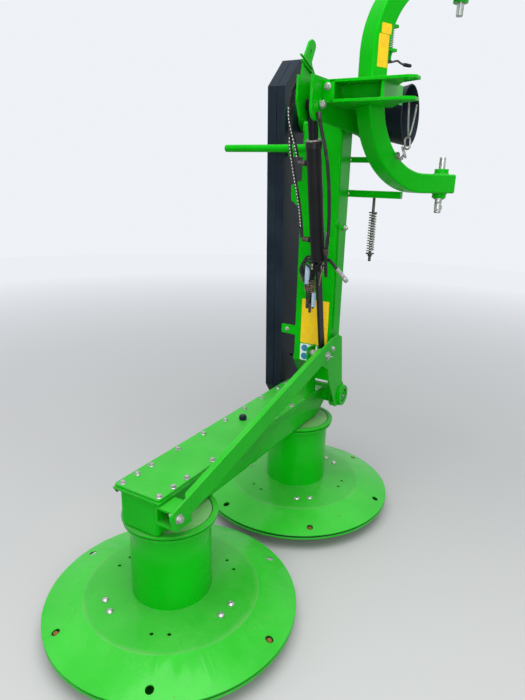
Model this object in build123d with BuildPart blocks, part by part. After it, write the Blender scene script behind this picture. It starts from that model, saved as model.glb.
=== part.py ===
from build123d import *
import os
from math import atan2, cos, degrees, hypot, radians, sin

# Two-drum mower as it parks: cutterbar flat on its two saucers, carrying arm folded upright.
# Millimetres. The origin is on the ground under the inner drum's axis, +X runs outboard
# along the cutterbar, +Y is the direction of travel and +Z is up.

# Driving dimensions
DRUM_SPACING = 920
HINGE_X, HINGE_Z = -125, 524
ARM_LENGTH = 1204
DISC_D = 868
SAUCER_D = 800
LINK_SPREAD = 825          # lower-link pins, shoulder to shoulder, category 2

# Clearances
RUN = 0.05                 # shaft or pin in its bore, on the radius
SEAT = 0.3                 # seated curved faces
GAP = 6                    # moving pieces that pass each other

# Heights of the cutting units
SAUCER_RIM_Z, SAUCER_T = 50, 5
DISC_RIM_Z, DISC_FOLD_Z, DRUM_FOOT_Z = 78, 119, 130
DISC_FOLD_D, DISC_T = 600, 5
DRUM_D, DRUM_LIP_D = 272, 312
COLLAR_D, COLLAR_T = 320, 8
COLLAR_TOP_Z = 425
DRUM_TOP_Z = COLLAR_TOP_Z - COLLAR_T - GAP
SPINDLE_R, SPINDLE_DEPTH = 30, 60
STUB_R = 25

# Cutterbar housing
HOUSING_W, HOUSING_TOP_Z = 152, 552
HOUSING_END = 150          # beyond the outer drum's axis
HOUSING_INNER_X = -58
BOTTOM_ROUND = 20          # along the housing's lower long edges
FLANGE_W, FLANGE_T, FLANGE_END = 186, 8, 160
COVER_W, COVER_T, COVER_END = 182, 10, 157
COVER_INNER_X = -64

# Knives, three a drum
KNIFE_COUNT = 3
KNIFE_BOLT_R, KNIFE_PIN_R, KNIFE_PIN_D = 233, 393, 20
RIM_HOLE_D, RIM_HOLES = 26, 6
PAIR_HOLE_R, PAIR_HOLE_D, PAIR_ANGLE = 226, 12, 7
HOLDER_T, HOLDER_GAP = 5, 0.5

# Hinge between cutterbar and arm
TUBE_D, TUBE_BORE = 84, 60
EAR_D, EAR_T = 118, 12
EAR_Y = (-35, 118)
TOWER_Y, TOWER_T = 150, 8

# Carrying arm and the pivot at its top
ARM_X0, ARM_X1 = -105, 5
ARM_Y0, ARM_Y1 = -35, 138
ARM_FOOT_Z = 700
PIVOT_Z = HINGE_Z + ARM_LENGTH
PIVOT_D, PIVOT_BORE = 110, 70
PIVOT_Y0, PIVOT_Y1 = -98, 218
ARM_HEAD_Z = PIVOT_Z - 30

# Belt guard, two halves
GUARD_Y0, GUARD_SEAM, GUARD_Y1 = -182, -140, -101
GUARD_TOP_HALF, GUARD_FOOT_HALF = 170, 120
GUARD_RISE = 220           # above the upper pulley
GUARD_CHAMFER = (115, 112)

# Hitch head: C frame of square tube in a plane leaning 25 degrees off vertical when working
C_TUBE, C_BEND = 75, 290
C_PLANE_TILT = 25
C_BACK_X, C_BACK_Y = 120, 288
C_LEG = 427
C_LEG_END = 48
C_MID_Z = PIVOT_Z + 106
BOSS_D, BOSS_H = 56, 20
PIN_D, PIN_OUT = 28, 60           # category 2 journal outside
INNER_PIN_D, PIN_IN = 26, 46      # turned-down stub inside
MAST_Z, MAST_T = (1743, 1806), 10
MAST_TOP_X, MAST_FRONT_Y, MAST_REAR_Y = 272, 490, 162
TOPLINK_X, TOPLINK_Y, TOPLINK_D = 246, 462, 25

# Lift cylinder and its link, in one plane beside the arm
LIFT_Y = 140
LINK_FOOT = (81, 770)
ROD_EYE = (285, 1731)
LINK_LENGTH = 396
LINK_T, LINK_W = 10, 40
EYE_D, EYE_W = 44, 32
SLEEVE_D = 36
BARREL_D, BARREL_L = 56, 446
ROD_D = 30

os.makedirs("parts", exist_ok=True)


def save(piece, name):
    piece.part.label = name
    export_step(piece.part, f"parts/{name}.step")


# Shapes that several pieces share

LIFT_ANGLE = degrees(atan2(ROD_EYE[1] - LINK_FOOT[1], ROD_EYE[0] - LINK_FOOT[0]))
LINK_HEAD = (
    LINK_FOOT[0] + LINK_LENGTH * cos(radians(LIFT_ANGLE)),
    LINK_FOOT[1] + LINK_LENGTH * sin(radians(LIFT_ANGLE)),
)
LIFT_L = hypot(ROD_EYE[0] - LINK_HEAD[0], ROD_EYE[1] - LINK_HEAD[1])


def side(y):
    """Side-view plane at travel position y: its x is +X, its y is +Z; extrude by -t goes to +Y."""
    return Plane.XZ.offset(-y)


RIM_FALL = (DISC_FOLD_Z - DISC_RIM_Z) / (DISC_D / 2 - DISC_FOLD_D / 2)
INNER_FALL = (DRUM_FOOT_Z - DISC_FOLD_Z) / (DISC_FOLD_D / 2 - DRUM_D / 2)


def under_disc(radius):
    """Height of the disc's underside between the drum's foot and the fold."""
    return DRUM_FOOT_Z - DISC_T - INNER_FALL * (radius - DRUM_D / 2)


# Cutting units: drum with its disc, knives and saucer
# columns: name, axis x, angle of the first knife
UNITS = (
    ("inner", 0, 37),
    ("outer", DRUM_SPACING, -30),
)
for unit, axis_x, knife_angle in UNITS:
    with BuildPart() as drum:
        with BuildSketch(Plane.XZ) as section:
            with BuildLine():
                Polyline(
                    (0, DRUM_TOP_Z),
                    (DRUM_LIP_D / 2, DRUM_TOP_Z),
                    (DRUM_LIP_D / 2, DRUM_TOP_Z - COLLAR_T),
                    (DRUM_D / 2, DRUM_TOP_Z - COLLAR_T),
                    (DRUM_D / 2, DRUM_FOOT_Z),
                    (DISC_FOLD_D / 2, DISC_FOLD_Z),
                    (DISC_D / 2, DISC_RIM_Z),
                    (DISC_D / 2, DISC_RIM_Z - DISC_T),
                    (DISC_FOLD_D / 2, DISC_FOLD_Z - DISC_T),
                    (DRUM_D / 2, DRUM_FOOT_Z - DISC_T),
                    (STUB_R + 35, DRUM_FOOT_Z - DISC_T),
                    (STUB_R + 35, SAUCER_RIM_Z + 45),
                    (0, SAUCER_RIM_Z + 45),
                    close=True,
                )
            make_face()
        revolve(axis=Axis.Z)
        with Locations((0, 0, DRUM_TOP_Z)):
            Hole(SPINDLE_R + RUN, SPINDLE_DEPTH + GAP)
        with BuildSketch(Plane.XY.offset(SAUCER_RIM_Z + 45)):
            Circle(STUB_R + RUN)
        extrude(amount=45, mode=Mode.SUBTRACT)
        with BuildSketch(Plane.XY.offset(DISC_RIM_Z - DISC_T)):
            with PolarLocations(KNIFE_PIN_R, RIM_HOLES, start_angle=knife_angle):
                Circle(RIM_HOLE_D / 2)
            for offset_angle in (-PAIR_ANGLE, PAIR_ANGLE):
                with PolarLocations(PAIR_HOLE_R, KNIFE_COUNT, start_angle=knife_angle + 60 + offset_angle):
                    Circle(PAIR_HOLE_D / 2)
        extrude(amount=DRUM_FOOT_Z - DISC_RIM_Z + 2 * DISC_T, mode=Mode.SUBTRACT)
    drum.part = drum.part.moved(Location((axis_x, 0, 0)))
    save(drum, f"drum_{unit}")

    # Spring-steel holder under the disc, its stud and a knife that has swung in behind the rim
    holder_z = DISC_RIM_Z - DISC_T
    with BuildPart() as knives:
        with BuildSketch(side(-30)):
            with BuildLine():
                pin_z = DISC_RIM_Z - DISC_T + RIM_FALL * (DISC_D / 2 - KNIFE_PIN_R)
                Polyline(
                    (KNIFE_BOLT_R - 35, under_disc(KNIFE_BOLT_R - 35) - HOLDER_GAP),
                    (KNIFE_BOLT_R + 35, under_disc(KNIFE_BOLT_R + 35) - HOLDER_GAP),
                    (KNIFE_PIN_R + 18, pin_z - 12),
                    (KNIFE_PIN_R + 18, pin_z - 17),
                    (KNIFE_BOLT_R + 35, under_disc(KNIFE_BOLT_R + 35) - HOLDER_GAP - HOLDER_T),
                    (KNIFE_BOLT_R - 35, under_disc(KNIFE_BOLT_R - 35) - HOLDER_GAP - HOLDER_T),
                    close=True,
                )
            make_face()
        extrude(amount=-60)
        with BuildSketch(Plane.XY.offset(DISC_RIM_Z - 18)):
            with Locations((KNIFE_PIN_R, 0)):
                Circle(KNIFE_PIN_D / 2)
        extrude(amount=pin_z - DISC_RIM_Z + 18 - 2)
        with BuildSketch(Plane.XY.offset(DISC_RIM_Z - 14)):
            with Locations((KNIFE_PIN_R - 4, 45)):
                SlotOverall(140, 44, rotation=90)
        extrude(amount=4)
    knife_set = [
        knives.part.rotate(Axis.Z, knife_angle + 120 * number).moved(Location((axis_x, 0, 0)))
        for number in range(KNIFE_COUNT)
    ]
    knife_group = Compound(children=knife_set, label=f"knives_{unit}")
    export_step(knife_group, f"parts/knives_{unit}.step")

    with BuildPart() as saucer:
        with BuildSketch(Plane.XZ):
            with BuildLine():
                sole = Line((0, 0), (SAUCER_D / 2 - 190, 0))
                bowl = ThreePointArc(
                    sole @ 1, (SAUCER_D / 2 - 85, 14), (SAUCER_D / 2, SAUCER_RIM_Z - SAUCER_T)
                )
                edge = Line(bowl @ 1, (SAUCER_D / 2, SAUCER_RIM_Z))
                inside = ThreePointArc(
                    edge @ 1, (SAUCER_D / 2 - 85, 14 + SAUCER_T), (SAUCER_D / 2 - 190, SAUCER_T)
                )
                Polyline(
                    inside @ 1,
                    (STUB_R + 30, SAUCER_T),
                    (STUB_R + 30, SAUCER_RIM_Z + 45 - GAP),
                    (STUB_R, SAUCER_RIM_Z + 45 - GAP),
                    (STUB_R, SAUCER_RIM_Z + 80),
                    (0, SAUCER_RIM_Z + 80),
                    (0, 0),
                )
            make_face()
        revolve(axis=Axis.Z)
    saucer.part = saucer.part.moved(Location((axis_x, 0, 0)))
    save(saucer, f"saucer_{unit}")

# Cutterbar: gear housing over both drums, with collar plates and the drums' spindles
HOUSING_LENGTH = DRUM_SPACING + HOUSING_END - HOUSING_INNER_X
HOUSING_MID = (DRUM_SPACING + HOUSING_END + HOUSING_INNER_X) / 2
with BuildPart() as housing:
    with BuildSketch(Plane.XY.offset(COLLAR_TOP_Z)):
        with Locations((HOUSING_MID, 0)):
            Rectangle(HOUSING_LENGTH, HOUSING_W)
    extrude(amount=HOUSING_TOP_Z - COLLAR_TOP_Z)
    fillet(housing.edges().filter_by(Axis.X).group_by(Axis.Z)[0], BOTTOM_ROUND)
    fillet(housing.edges().filter_by(Axis.Z).group_by(Axis.X)[-1], 12)
    with BuildSketch(Plane.XY.offset(HOUSING_TOP_Z)):
        with Locations(((DRUM_SPACING + FLANGE_END + COVER_INNER_X) / 2, 0)):
            Rectangle(DRUM_SPACING + FLANGE_END - COVER_INNER_X, FLANGE_W)
    extrude(amount=FLANGE_T)
    with BuildSketch(Plane.XY.offset(COLLAR_TOP_Z - COLLAR_T)):
        with Locations((0, 0), (DRUM_SPACING, 0)):
            Circle(COLLAR_D / 2)
    extrude(amount=COLLAR_T)
    with BuildSketch(Plane.XY.offset(DRUM_TOP_Z - SPINDLE_DEPTH)):
        with Locations((0, 0), (DRUM_SPACING, 0)):
            Circle(SPINDLE_R)
    extrude(amount=COLLAR_TOP_Z - DRUM_TOP_Z + SPINDLE_DEPTH)
save(housing, "cutterbar_housing")

with BuildPart() as cover:
    with BuildSketch(Plane.XY.offset(HOUSING_TOP_Z + FLANGE_T)):
        with Locations(((DRUM_SPACING + COVER_END + COVER_INNER_X) / 2, 0)):
            RectangleRounded(DRUM_SPACING + COVER_END - COVER_INNER_X, COVER_W, 10)
    extrude(amount=COVER_T)
save(cover, "housing_cover")
COVER_TOP_Z = HOUSING_TOP_Z + FLANGE_T + COVER_T

# Hinge tower: the hinge tube on the housing's end, and two plates that rise past the arm's foot
STAY_FOOT = (DRUM_SPACING + 158, 538)
STAY_HEAD = (36, 799)
STAY_T, STAY_FOOT_W, STAY_HEAD_W = 8, 64, 72
HINGE_RING_D, HINGE_RING_T = 96, 12
TUBE_Y0, NECK_Y0, NECK_Y1 = -45, -15, 76
INNER_PLATE_Y = 82
LIFT_PIN_R = 12
with BuildPart() as tower:
    with BuildSketch(side(TUBE_Y0)):
        with Locations((HINGE_X, HINGE_Z)):
            Circle(TUBE_D / 2)
    extrude(amount=-(TOWER_Y + TOWER_T - TUBE_Y0))
    with BuildSketch(side(NECK_Y0)):
        with BuildLine():
            Polyline((-125, 485), (HOUSING_INNER_X, 440), (HOUSING_INNER_X, 548), (-125, 562), close=True)
        make_face()
    extrude(amount=-(NECK_Y1 - NECK_Y0))
    with BuildSketch(side(TOWER_Y)):
        with BuildLine():
            Polyline(
                (-172, 530), (-125, 477), (-62, 486), (30, 640), (45, 695), (112, 735), (112, 800), (-40, 838),
                (-88, 815), (-124, 597), close=True,
            )
        make_face()
    extrude(amount=-TOWER_T)
    with BuildSketch(side(TOWER_Y)):
        with Locations((HINGE_X, HINGE_Z)):
            Circle(HINGE_RING_D / 2)
    extrude(amount=-(TOWER_T + HINGE_RING_T))
    with BuildSketch(side(INNER_PLATE_Y)):
        with BuildLine():
            Polyline((15, COVER_TOP_Z), (115, COVER_TOP_Z), (112, 800), (40, 800), close=True)
        make_face()
    extrude(amount=-TOWER_T)
    with BuildSketch(side(INNER_PLATE_Y + TOWER_T)):
        with BuildLine():
            Polyline((26, 640), (34, 640), (56, 740), (48, 740), close=True)
        make_face()
    extrude(amount=-(TOWER_Y - INNER_PLATE_Y - TOWER_T))
    with BuildSketch(side(TUBE_Y0)):
        with Locations((HINGE_X, HINGE_Z)):
            Circle(TUBE_BORE / 2)
    extrude(amount=-(TOWER_Y + TOWER_T + HINGE_RING_T - TUBE_Y0), mode=Mode.SUBTRACT)
    with BuildSketch(side(INNER_PLATE_Y)):
        with Locations(LINK_FOOT):
            Circle(LIFT_PIN_R + RUN)
    extrude(amount=-(TOWER_Y + TOWER_T - INNER_PLATE_Y), mode=Mode.SUBTRACT)
save(tower, "hinge_tower")

# Stay from the tower to the outer end of the housing
STAY_Y = TOWER_Y + TOWER_T
stay_run = hypot(STAY_HEAD[0] - STAY_FOOT[0], STAY_HEAD[1] - STAY_FOOT[1])
STAY_PLANE = Plane(
    origin=(STAY_FOOT[0], STAY_Y, STAY_FOOT[1]),
    x_dir=(STAY_HEAD[0] - STAY_FOOT[0], 0, STAY_HEAD[1] - STAY_FOOT[1]),
    z_dir=(0, 1, 0),
)
link_hole = STAY_PLANE.to_local_coords(Vector(LINK_FOOT[0], STAY_Y, LINK_FOOT[1]))
with BuildPart() as stay:
    with BuildSketch(STAY_PLANE):
        with BuildLine():
            Polyline(
                (-30, -STAY_FOOT_W / 2),
                (stay_run + 30, -STAY_HEAD_W / 2),
                (stay_run + 30, STAY_HEAD_W / 2),
                (-30, STAY_FOOT_W / 2),
                close=True,
            )
        make_face()
        fillet(vertices(), 16)
        with Locations((link_hole.X, link_hole.Y)):
            Circle(LIFT_PIN_R + RUN, mode=Mode.SUBTRACT)
    extrude(amount=STAY_T)
save(stay, "stay_bar")

HOUSING_SIDE = HOUSING_W / 2
# channel open towards the outer end: a pad on the housing, two flanges and the plate behind the stay
CHANNEL_X, CHANNEL_Z, CHANNEL_T = (1006, 1079), (486, 548), 8
channel_mid = sum(CHANNEL_X) / 2, sum(CHANNEL_Z) / 2
with BuildPart() as bracket:
    for wall_y in (HOUSING_SIDE, STAY_Y - CHANNEL_T):
        with BuildSketch(side(wall_y)):
            with Locations(channel_mid):
                Rectangle(CHANNEL_X[1] - CHANNEL_X[0], CHANNEL_Z[1] - CHANNEL_Z[0])
        extrude(amount=-CHANNEL_T)
    for flange_z in (CHANNEL_Z[0], CHANNEL_Z[1] - CHANNEL_T):
        with BuildSketch(Plane.XY.offset(flange_z)):
            with Locations((channel_mid[0], (HOUSING_SIDE + STAY_Y) / 2)):
                Rectangle(CHANNEL_X[1] - CHANNEL_X[0], STAY_Y - HOUSING_SIDE)
        extrude(amount=CHANNEL_T)
save(bracket, "stay_bracket")

with BuildPart() as link_pin:
    with BuildSketch(side(INNER_PLATE_Y)):
        with Locations(LINK_FOOT):
            Circle(LIFT_PIN_R)
    extrude(amount=-(STAY_Y + STAY_T - INNER_PLATE_Y))
    for head_y in (INNER_PLATE_Y - 10, STAY_Y + STAY_T):
        with BuildSketch(side(head_y)):
            with Locations(LINK_FOOT):
                RegularPolygon(15, 6)
        extrude(amount=-10)
    with BuildSketch(side(INNER_PLATE_Y + TOWER_T)):
        with Locations(LINK_FOOT):
            Circle(LIFT_PIN_R + 5)
    extrude(amount=-(LIFT_Y - LINK_T / 2 - INNER_PLATE_Y - TOWER_T - SEAT))
save(link_pin, "link_pin")

TAB_T, TAB_LAP = 8, 25
# Carrying arm: box tube, hinge ears at its foot and the pivot tube at its head
with BuildPart() as arm:
    with BuildSketch(Plane.XY.offset(ARM_FOOT_Z)):
        with Locations(((ARM_X0 + ARM_X1) / 2, (ARM_Y0 + ARM_Y1) / 2)):
            RectangleRounded(ARM_X1 - ARM_X0, ARM_Y1 - ARM_Y0, 10)
    extrude(amount=ARM_HEAD_Z - ARM_FOOT_Z)
    for ear_y in EAR_Y:
        with BuildSketch(side(ear_y)):
            with Locations((HINGE_X, HINGE_Z)):
                Circle(EAR_D / 2)
            with BuildLine():
                Polyline(
                    (-184, 524), (-184, 600), (ARM_X0, 720), (ARM_X1, 720), (ARM_X1, 700), (-80, 590),
                    (-80, 524), close=True,
                )
            make_face()
        extrude(amount=-EAR_T)
    with BuildSketch(side(PIVOT_Y0)):
        with Locations((HINGE_X, PIVOT_Z)):
            Circle(PIVOT_D / 2)
    extrude(amount=-(PIVOT_Y1 - PIVOT_Y0))
    with BuildSketch(side(ARM_Y0)):
        with BuildLine():
            Polyline((ARM_X0, ARM_HEAD_Z - 30), (ARM_X1, ARM_HEAD_Z - 30), (ARM_X1, ARM_HEAD_Z),
                     (HINGE_X + 40, PIVOT_Z + 36), (ARM_X0, PIVOT_Z), close=True)
        make_face()
    extrude(amount=-(ARM_Y1 - ARM_Y0))
    for tab_z in (835, 1590):
        with BuildSketch(Plane.XY.offset(tab_z - 20)):
            with Locations((ARM_X1 - TAB_T / 2, (ARM_Y0 + TAB_LAP + GUARD_Y1) / 2)):
                Rectangle(TAB_T, ARM_Y0 + TAB_LAP - GUARD_Y1)
        extrude(amount=40)
    with BuildSketch(Plane.YZ.offset(ARM_X1 - TAB_T)):
        with BuildLine():
            Polyline((ARM_Y0 + TAB_LAP, 1487), (-80, 1458), (-77, 1397), (ARM_Y0 + TAB_LAP, 1350), close=True)
        make_face()
    extrude(amount=TAB_T)
    with BuildSketch(side(EAR_Y[0])):
        with Locations((HINGE_X, HINGE_Z)):
            Circle(TUBE_D / 2 + RUN)
    extrude(amount=-(EAR_Y[1] + EAR_T - EAR_Y[0]), mode=Mode.SUBTRACT)
    with BuildSketch(side(PIVOT_Y0)):
        with Locations((HINGE_X, PIVOT_Z)):
            Circle(17.5 + RUN)
    extrude(amount=-(PIVOT_Y1 - PIVOT_Y0), mode=Mode.SUBTRACT)
save(arm, "carrying_arm")

# Belt guard in two halves, chamfered where they meet so that the seam shows
GUARD_OUTLINE = (
    (HINGE_X - GUARD_TOP_HALF, PIVOT_Z + GUARD_RISE - GUARD_CHAMFER[1]),
    (HINGE_X - GUARD_TOP_HALF + GUARD_CHAMFER[0], PIVOT_Z + GUARD_RISE),
    (HINGE_X + GUARD_TOP_HALF - GUARD_CHAMFER[0], PIVOT_Z + GUARD_RISE),
    (HINGE_X + GUARD_TOP_HALF, PIVOT_Z + GUARD_RISE - GUARD_CHAMFER[1]),
    (HINGE_X + GUARD_FOOT_HALF, HINGE_Z + 21),
    (HINGE_X + 85, HINGE_Z - 25),
    (HINGE_X + 45, HINGE_Z - 80),
    (HINGE_X - 45, HINGE_Z - 80),
    (HINGE_X - 85, HINGE_Z - 25),
    (HINGE_X - GUARD_FOOT_HALF, HINGE_Z + 21),
)
# columns: name, rear face y, front face y
for half, half_y0, half_y1 in (("outer", GUARD_Y0, GUARD_SEAM), ("inner", GUARD_SEAM, GUARD_Y1)):
    with BuildPart() as guard:
        with BuildSketch(side(half_y0)):
            with BuildLine():
                Polyline(*GUARD_OUTLINE, close=True)
            make_face()
        extrude(amount=-(half_y1 - half_y0))
        seam_end = -1 if half == "outer" else 0
        chamfer(guard.faces().sort_by(Axis.Y)[seam_end].edges(), 2.5)
        if half == "inner":
            with BuildSketch(side(GUARD_Y1 - 6)):
                with Locations((HINGE_X, PIVOT_Z)):
                    Circle(25)
            extrude(amount=-6, mode=Mode.SUBTRACT)
    save(guard, f"belt_guard_{half}")

CURTAIN_X, CURTAIN_Z, CURTAIN_D = 68, 1600, 30
CURTAIN_Y0, CURTAIN_Y1 = -365, 22
with BuildPart() as curtain:
    with BuildSketch(side(CURTAIN_Y0)):
        with Locations((CURTAIN_X, CURTAIN_Z)):
            Circle(CURTAIN_D / 2)
            Circle(CURTAIN_D / 2 - 3, mode=Mode.SUBTRACT)
    extrude(amount=-(CURTAIN_Y1 - CURTAIN_Y0))
    with BuildSketch(Plane.XY.offset(CURTAIN_Z - 10)):
        with Locations(((ARM_X1 + CURTAIN_X - CURTAIN_D / 2 + 2) / 2, CURTAIN_Y1 - 16)):
            Rectangle(CURTAIN_X - CURTAIN_D / 2 + 2 - ARM_X1, 30)
    extrude(amount=20)
save(curtain, "curtain_tube")

# Transport catch: flat bar pinned to the arm's front side
CATCH_TOP = (-27, 1295)
CATCH_FOOT = (-30, 862)
with BuildPart() as catch:
    with BuildSketch(side(ARM_Y1)):
        with BuildLine():
            Polyline(
                (CATCH_TOP[0] - 15, CATCH_TOP[1] + 18),
                (CATCH_TOP[0] + 15, CATCH_TOP[1] + 18),
                (CATCH_FOOT[0] + 10, CATCH_FOOT[1]),
                (CATCH_FOOT[0] - 10, CATCH_FOOT[1]),
                close=True,
            )
        make_face()
    extrude(amount=-6)
    with BuildSketch(side(ARM_Y1 + 6)):
        with Locations(CATCH_TOP):
            Circle(9)
    extrude(amount=-20)
save(catch, "transport_catch")

# Input shaft with its six splines, and the bell guard round it
SHAFT_R, SPLINE_ROOT_R, SHAFT_FRONT_Y = 17.5, 14.5, 318
BELL_Y1, BELL_BASE_R, BELL_MOUTH_R, BELL_WALL = 362, 80, 112, 4
with BuildPart() as shaft:
    with BuildSketch(side(PIVOT_Y0 + 2)):
        with Locations((HINGE_X, PIVOT_Z)):
            Circle(SHAFT_R)
    extrude(amount=-(PIVOT_Y1 + 12 - PIVOT_Y0 - 2))
    with BuildSketch(side(PIVOT_Y1 + 12)):
        with Locations((HINGE_X, PIVOT_Z)):
            Circle(SPLINE_ROOT_R)
            with PolarLocations(SPLINE_ROOT_R, 6):
                Rectangle(6, 8.5)
    extrude(amount=-(SHAFT_FRONT_Y - PIVOT_Y1 - 12))
save(shaft, "input_shaft")

with BuildPart() as bell:
    with BuildSketch(side(PIVOT_Y1)) as bell_base:
        with Locations((HINGE_X, PIVOT_Z)):
            Circle(BELL_BASE_R)
    with BuildSketch(side(BELL_Y1)) as bell_mouth:
        with Locations((HINGE_X, PIVOT_Z)):
            Circle(BELL_MOUTH_R)
    loft()
    with BuildSketch(side(PIVOT_Y1 + BELL_WALL)):
        with Locations((HINGE_X, PIVOT_Z)):
            Circle(BELL_BASE_R - BELL_WALL)
    with BuildSketch(side(BELL_Y1)):
        with Locations((HINGE_X, PIVOT_Z)):
            Circle(BELL_MOUTH_R - BELL_WALL)
    loft(mode=Mode.SUBTRACT)
    with BuildSketch(side(PIVOT_Y1)):
        with Locations((HINGE_X, PIVOT_Z)):
            Circle(SHAFT_R + GAP)
    extrude(amount=-BELL_WALL, mode=Mode.SUBTRACT)
save(bell, "shaft_guard_bell")

# Hitch head: C frame swept along its centreline
C_PLANE = Plane(
    origin=(C_BACK_X, C_BACK_Y, C_MID_Z),
    x_dir=(-cos(radians(C_PLANE_TILT)), sin(radians(C_PLANE_TILT)), 0),
    z_dir=(sin(radians(C_PLANE_TILT)), cos(radians(C_PLANE_TILT)), 0),
)
C_HALF = LINK_SPREAD / 2 - BOSS_H - C_TUBE / 2
C_LEG_L = C_LEG + C_LEG_END
with BuildPart() as frame:
    with BuildLine(C_PLANE) as spine:
        FilletPolyline((C_LEG_L, -C_HALF), (0, -C_HALF), (0, C_HALF), (C_LEG_L, C_HALF), radius=C_BEND)
    with BuildSketch(Plane(origin=spine.line @ 0, x_dir=C_PLANE.z_dir, z_dir=spine.line % 0)):
        RectangleRounded(C_TUBE, C_TUBE, 8)
    sweep()
    boss_centre = C_PLANE.from_local_coords(Vector(C_LEG, 0, 0))
    for leg_z in (C_MID_Z - C_HALF, C_MID_Z + C_HALF):
        with BuildSketch(Plane.XY.offset(leg_z - C_TUBE / 2 - BOSS_H)):
            with Locations((boss_centre.X, boss_centre.Y)):
                Circle(BOSS_D / 2)
        extrude(amount=C_TUBE + 2 * BOSS_H)
        with BuildSketch(Plane.XY.offset(leg_z - C_TUBE)):
            with Locations((boss_centre.X, boss_centre.Y)):
                Circle(INNER_PIN_D / 2 + RUN)
        extrude(amount=2 * C_TUBE, mode=Mode.SUBTRACT)
save(frame, "hitch_frame")

# Lower-link pins: a plain pin through each leg, with a stub inside and the long journal outside
# columns: name, leg centre z, inner end z, outer end z
SHOULDER = C_TUBE / 2 + BOSS_H
for pin_name, leg_z, inward in (("lower", C_MID_Z - C_HALF, 1), ("upper", C_MID_Z + C_HALF, -1)):
    shoulder_z = leg_z - inward * SHOULDER
    with BuildPart() as hitch_pin:
        with BuildSketch(Plane.XY.offset(shoulder_z)):
            with Locations((boss_centre.X, boss_centre.Y)):
                Circle(PIN_D / 2)
        extrude(amount=-inward * PIN_OUT)
        with BuildSketch(Plane.XY.offset(shoulder_z)):
            with Locations((boss_centre.X, boss_centre.Y)):
                Circle(INNER_PIN_D / 2)
        extrude(amount=inward * (2 * SHOULDER + PIN_IN))
        pin_ends = hitch_pin.edges().filter_by(GeomType.CIRCLE).group_by(Axis.Z)
        chamfer(pin_ends[0] + pin_ends[-1], 3)
    save(hitch_pin, f"hitch_pin_{pin_name}")

# Mast: two plates gripping the C frame, with the top-link hole at the front, and the pivot
# plates with their rings on the arm's pivot tube; the rear one is also the cylinder's front cheek
PLATE_T, FRONT_RING_Y, RING_R = 10, 198, 80
EYE_GAP = EYE_W / 2 + GAP
MAST_OUTLINE = (
    (60, MAST_REAR_Y + PLATE_T),
    (MAST_TOP_X - 32, MAST_REAR_Y + PLATE_T),
    (MAST_TOP_X, MAST_REAR_Y + PLATE_T + 18),
    (MAST_TOP_X, MAST_FRONT_Y - 22),
    (MAST_TOP_X - 14, MAST_FRONT_Y),
    (MAST_TOP_X - 58, MAST_FRONT_Y),
    (180, 420),
    (60, 350),
)
with BuildPart() as mast:
    for plate_z in MAST_Z:
        with BuildSketch(Plane.XY.offset(plate_z - MAST_T / 2)):
            with BuildLine():
                Polyline(*MAST_OUTLINE, close=True)
            make_face()
            with Locations((TOPLINK_X, TOPLINK_Y)):
                Circle(TOPLINK_D / 2 + 0.5, mode=Mode.SUBTRACT)
        extrude(amount=MAST_T)
    # columns: x0, x1, y0, y1
    for web_x0, web_x1, web_y0, web_y1 in (
        (66, MAST_TOP_X - 8, FRONT_RING_Y, FRONT_RING_Y + PLATE_T),
        (66, MAST_TOP_X - 8, 376, 376 + PLATE_T),
        (182, 190, FRONT_RING_Y, 376),
    ):
        with BuildSketch(Plane.XY.offset(MAST_Z[0])):
            with Locations(((web_x0 + web_x1) / 2, (web_y0 + web_y1) / 2)):
                Rectangle(web_x1 - web_x0, web_y1 - web_y0)
        extrude(amount=MAST_Z[1] - MAST_Z[0])
    with BuildSketch(Plane.XY.offset(MAST_Z[0] - MAST_T)):
        with Locations(Location((C_BACK_X, C_BACK_Y), -C_PLANE_TILT)):
            Rectangle(C_TUBE + 2 * SEAT + 6, C_TUBE + 2 * SEAT)
    extrude(amount=MAST_Z[1] - MAST_Z[0] + 2 * MAST_T, mode=Mode.SUBTRACT)
    with BuildSketch(side(FRONT_RING_Y)):
        with Locations((HINGE_X, PIVOT_Z)):
            Circle(RING_R)
        with BuildLine():
            Polyline(
                (HINGE_X - 20, PIVOT_Z + RING_R - 3), (190, MAST_Z[1]), (190, MAST_Z[0]),
                (60, MAST_Z[0] - MAST_T / 2), (HINGE_X + 40, PIVOT_Z - RING_R + 11), close=True,
            )
        make_face()
    extrude(amount=-PLATE_T)
    with BuildSketch(side(MAST_REAR_Y)):
        with Locations((HINGE_X, PIVOT_Z)):
            Circle(RING_R)
        with BuildLine():
            cheek_top = Polyline((HINGE_X - 10, PIVOT_Z + RING_R - 1), (60, 1818), (350, 1818), (352, 1715))
            cheek_toe = TangentArc(cheek_top @ 1, (305, 1678), tangent=(0, -1))
            Polyline(cheek_toe @ 1, (221, 1676), (HINGE_X + 30, PIVOT_Z - RING_R + 6), cheek_top @ 0)
        make_face()
        with Locations(ROD_EYE):
            Circle(12, mode=Mode.SUBTRACT)
    extrude(amount=-PLATE_T)
    with BuildSketch(side(MAST_REAR_Y)):
        with Locations((HINGE_X, PIVOT_Z)):
            Circle(PIVOT_D / 2 + RUN)
    extrude(amount=-(FRONT_RING_Y + PLATE_T - MAST_REAR_Y), mode=Mode.SUBTRACT)
save(mast, "mast")

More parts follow.
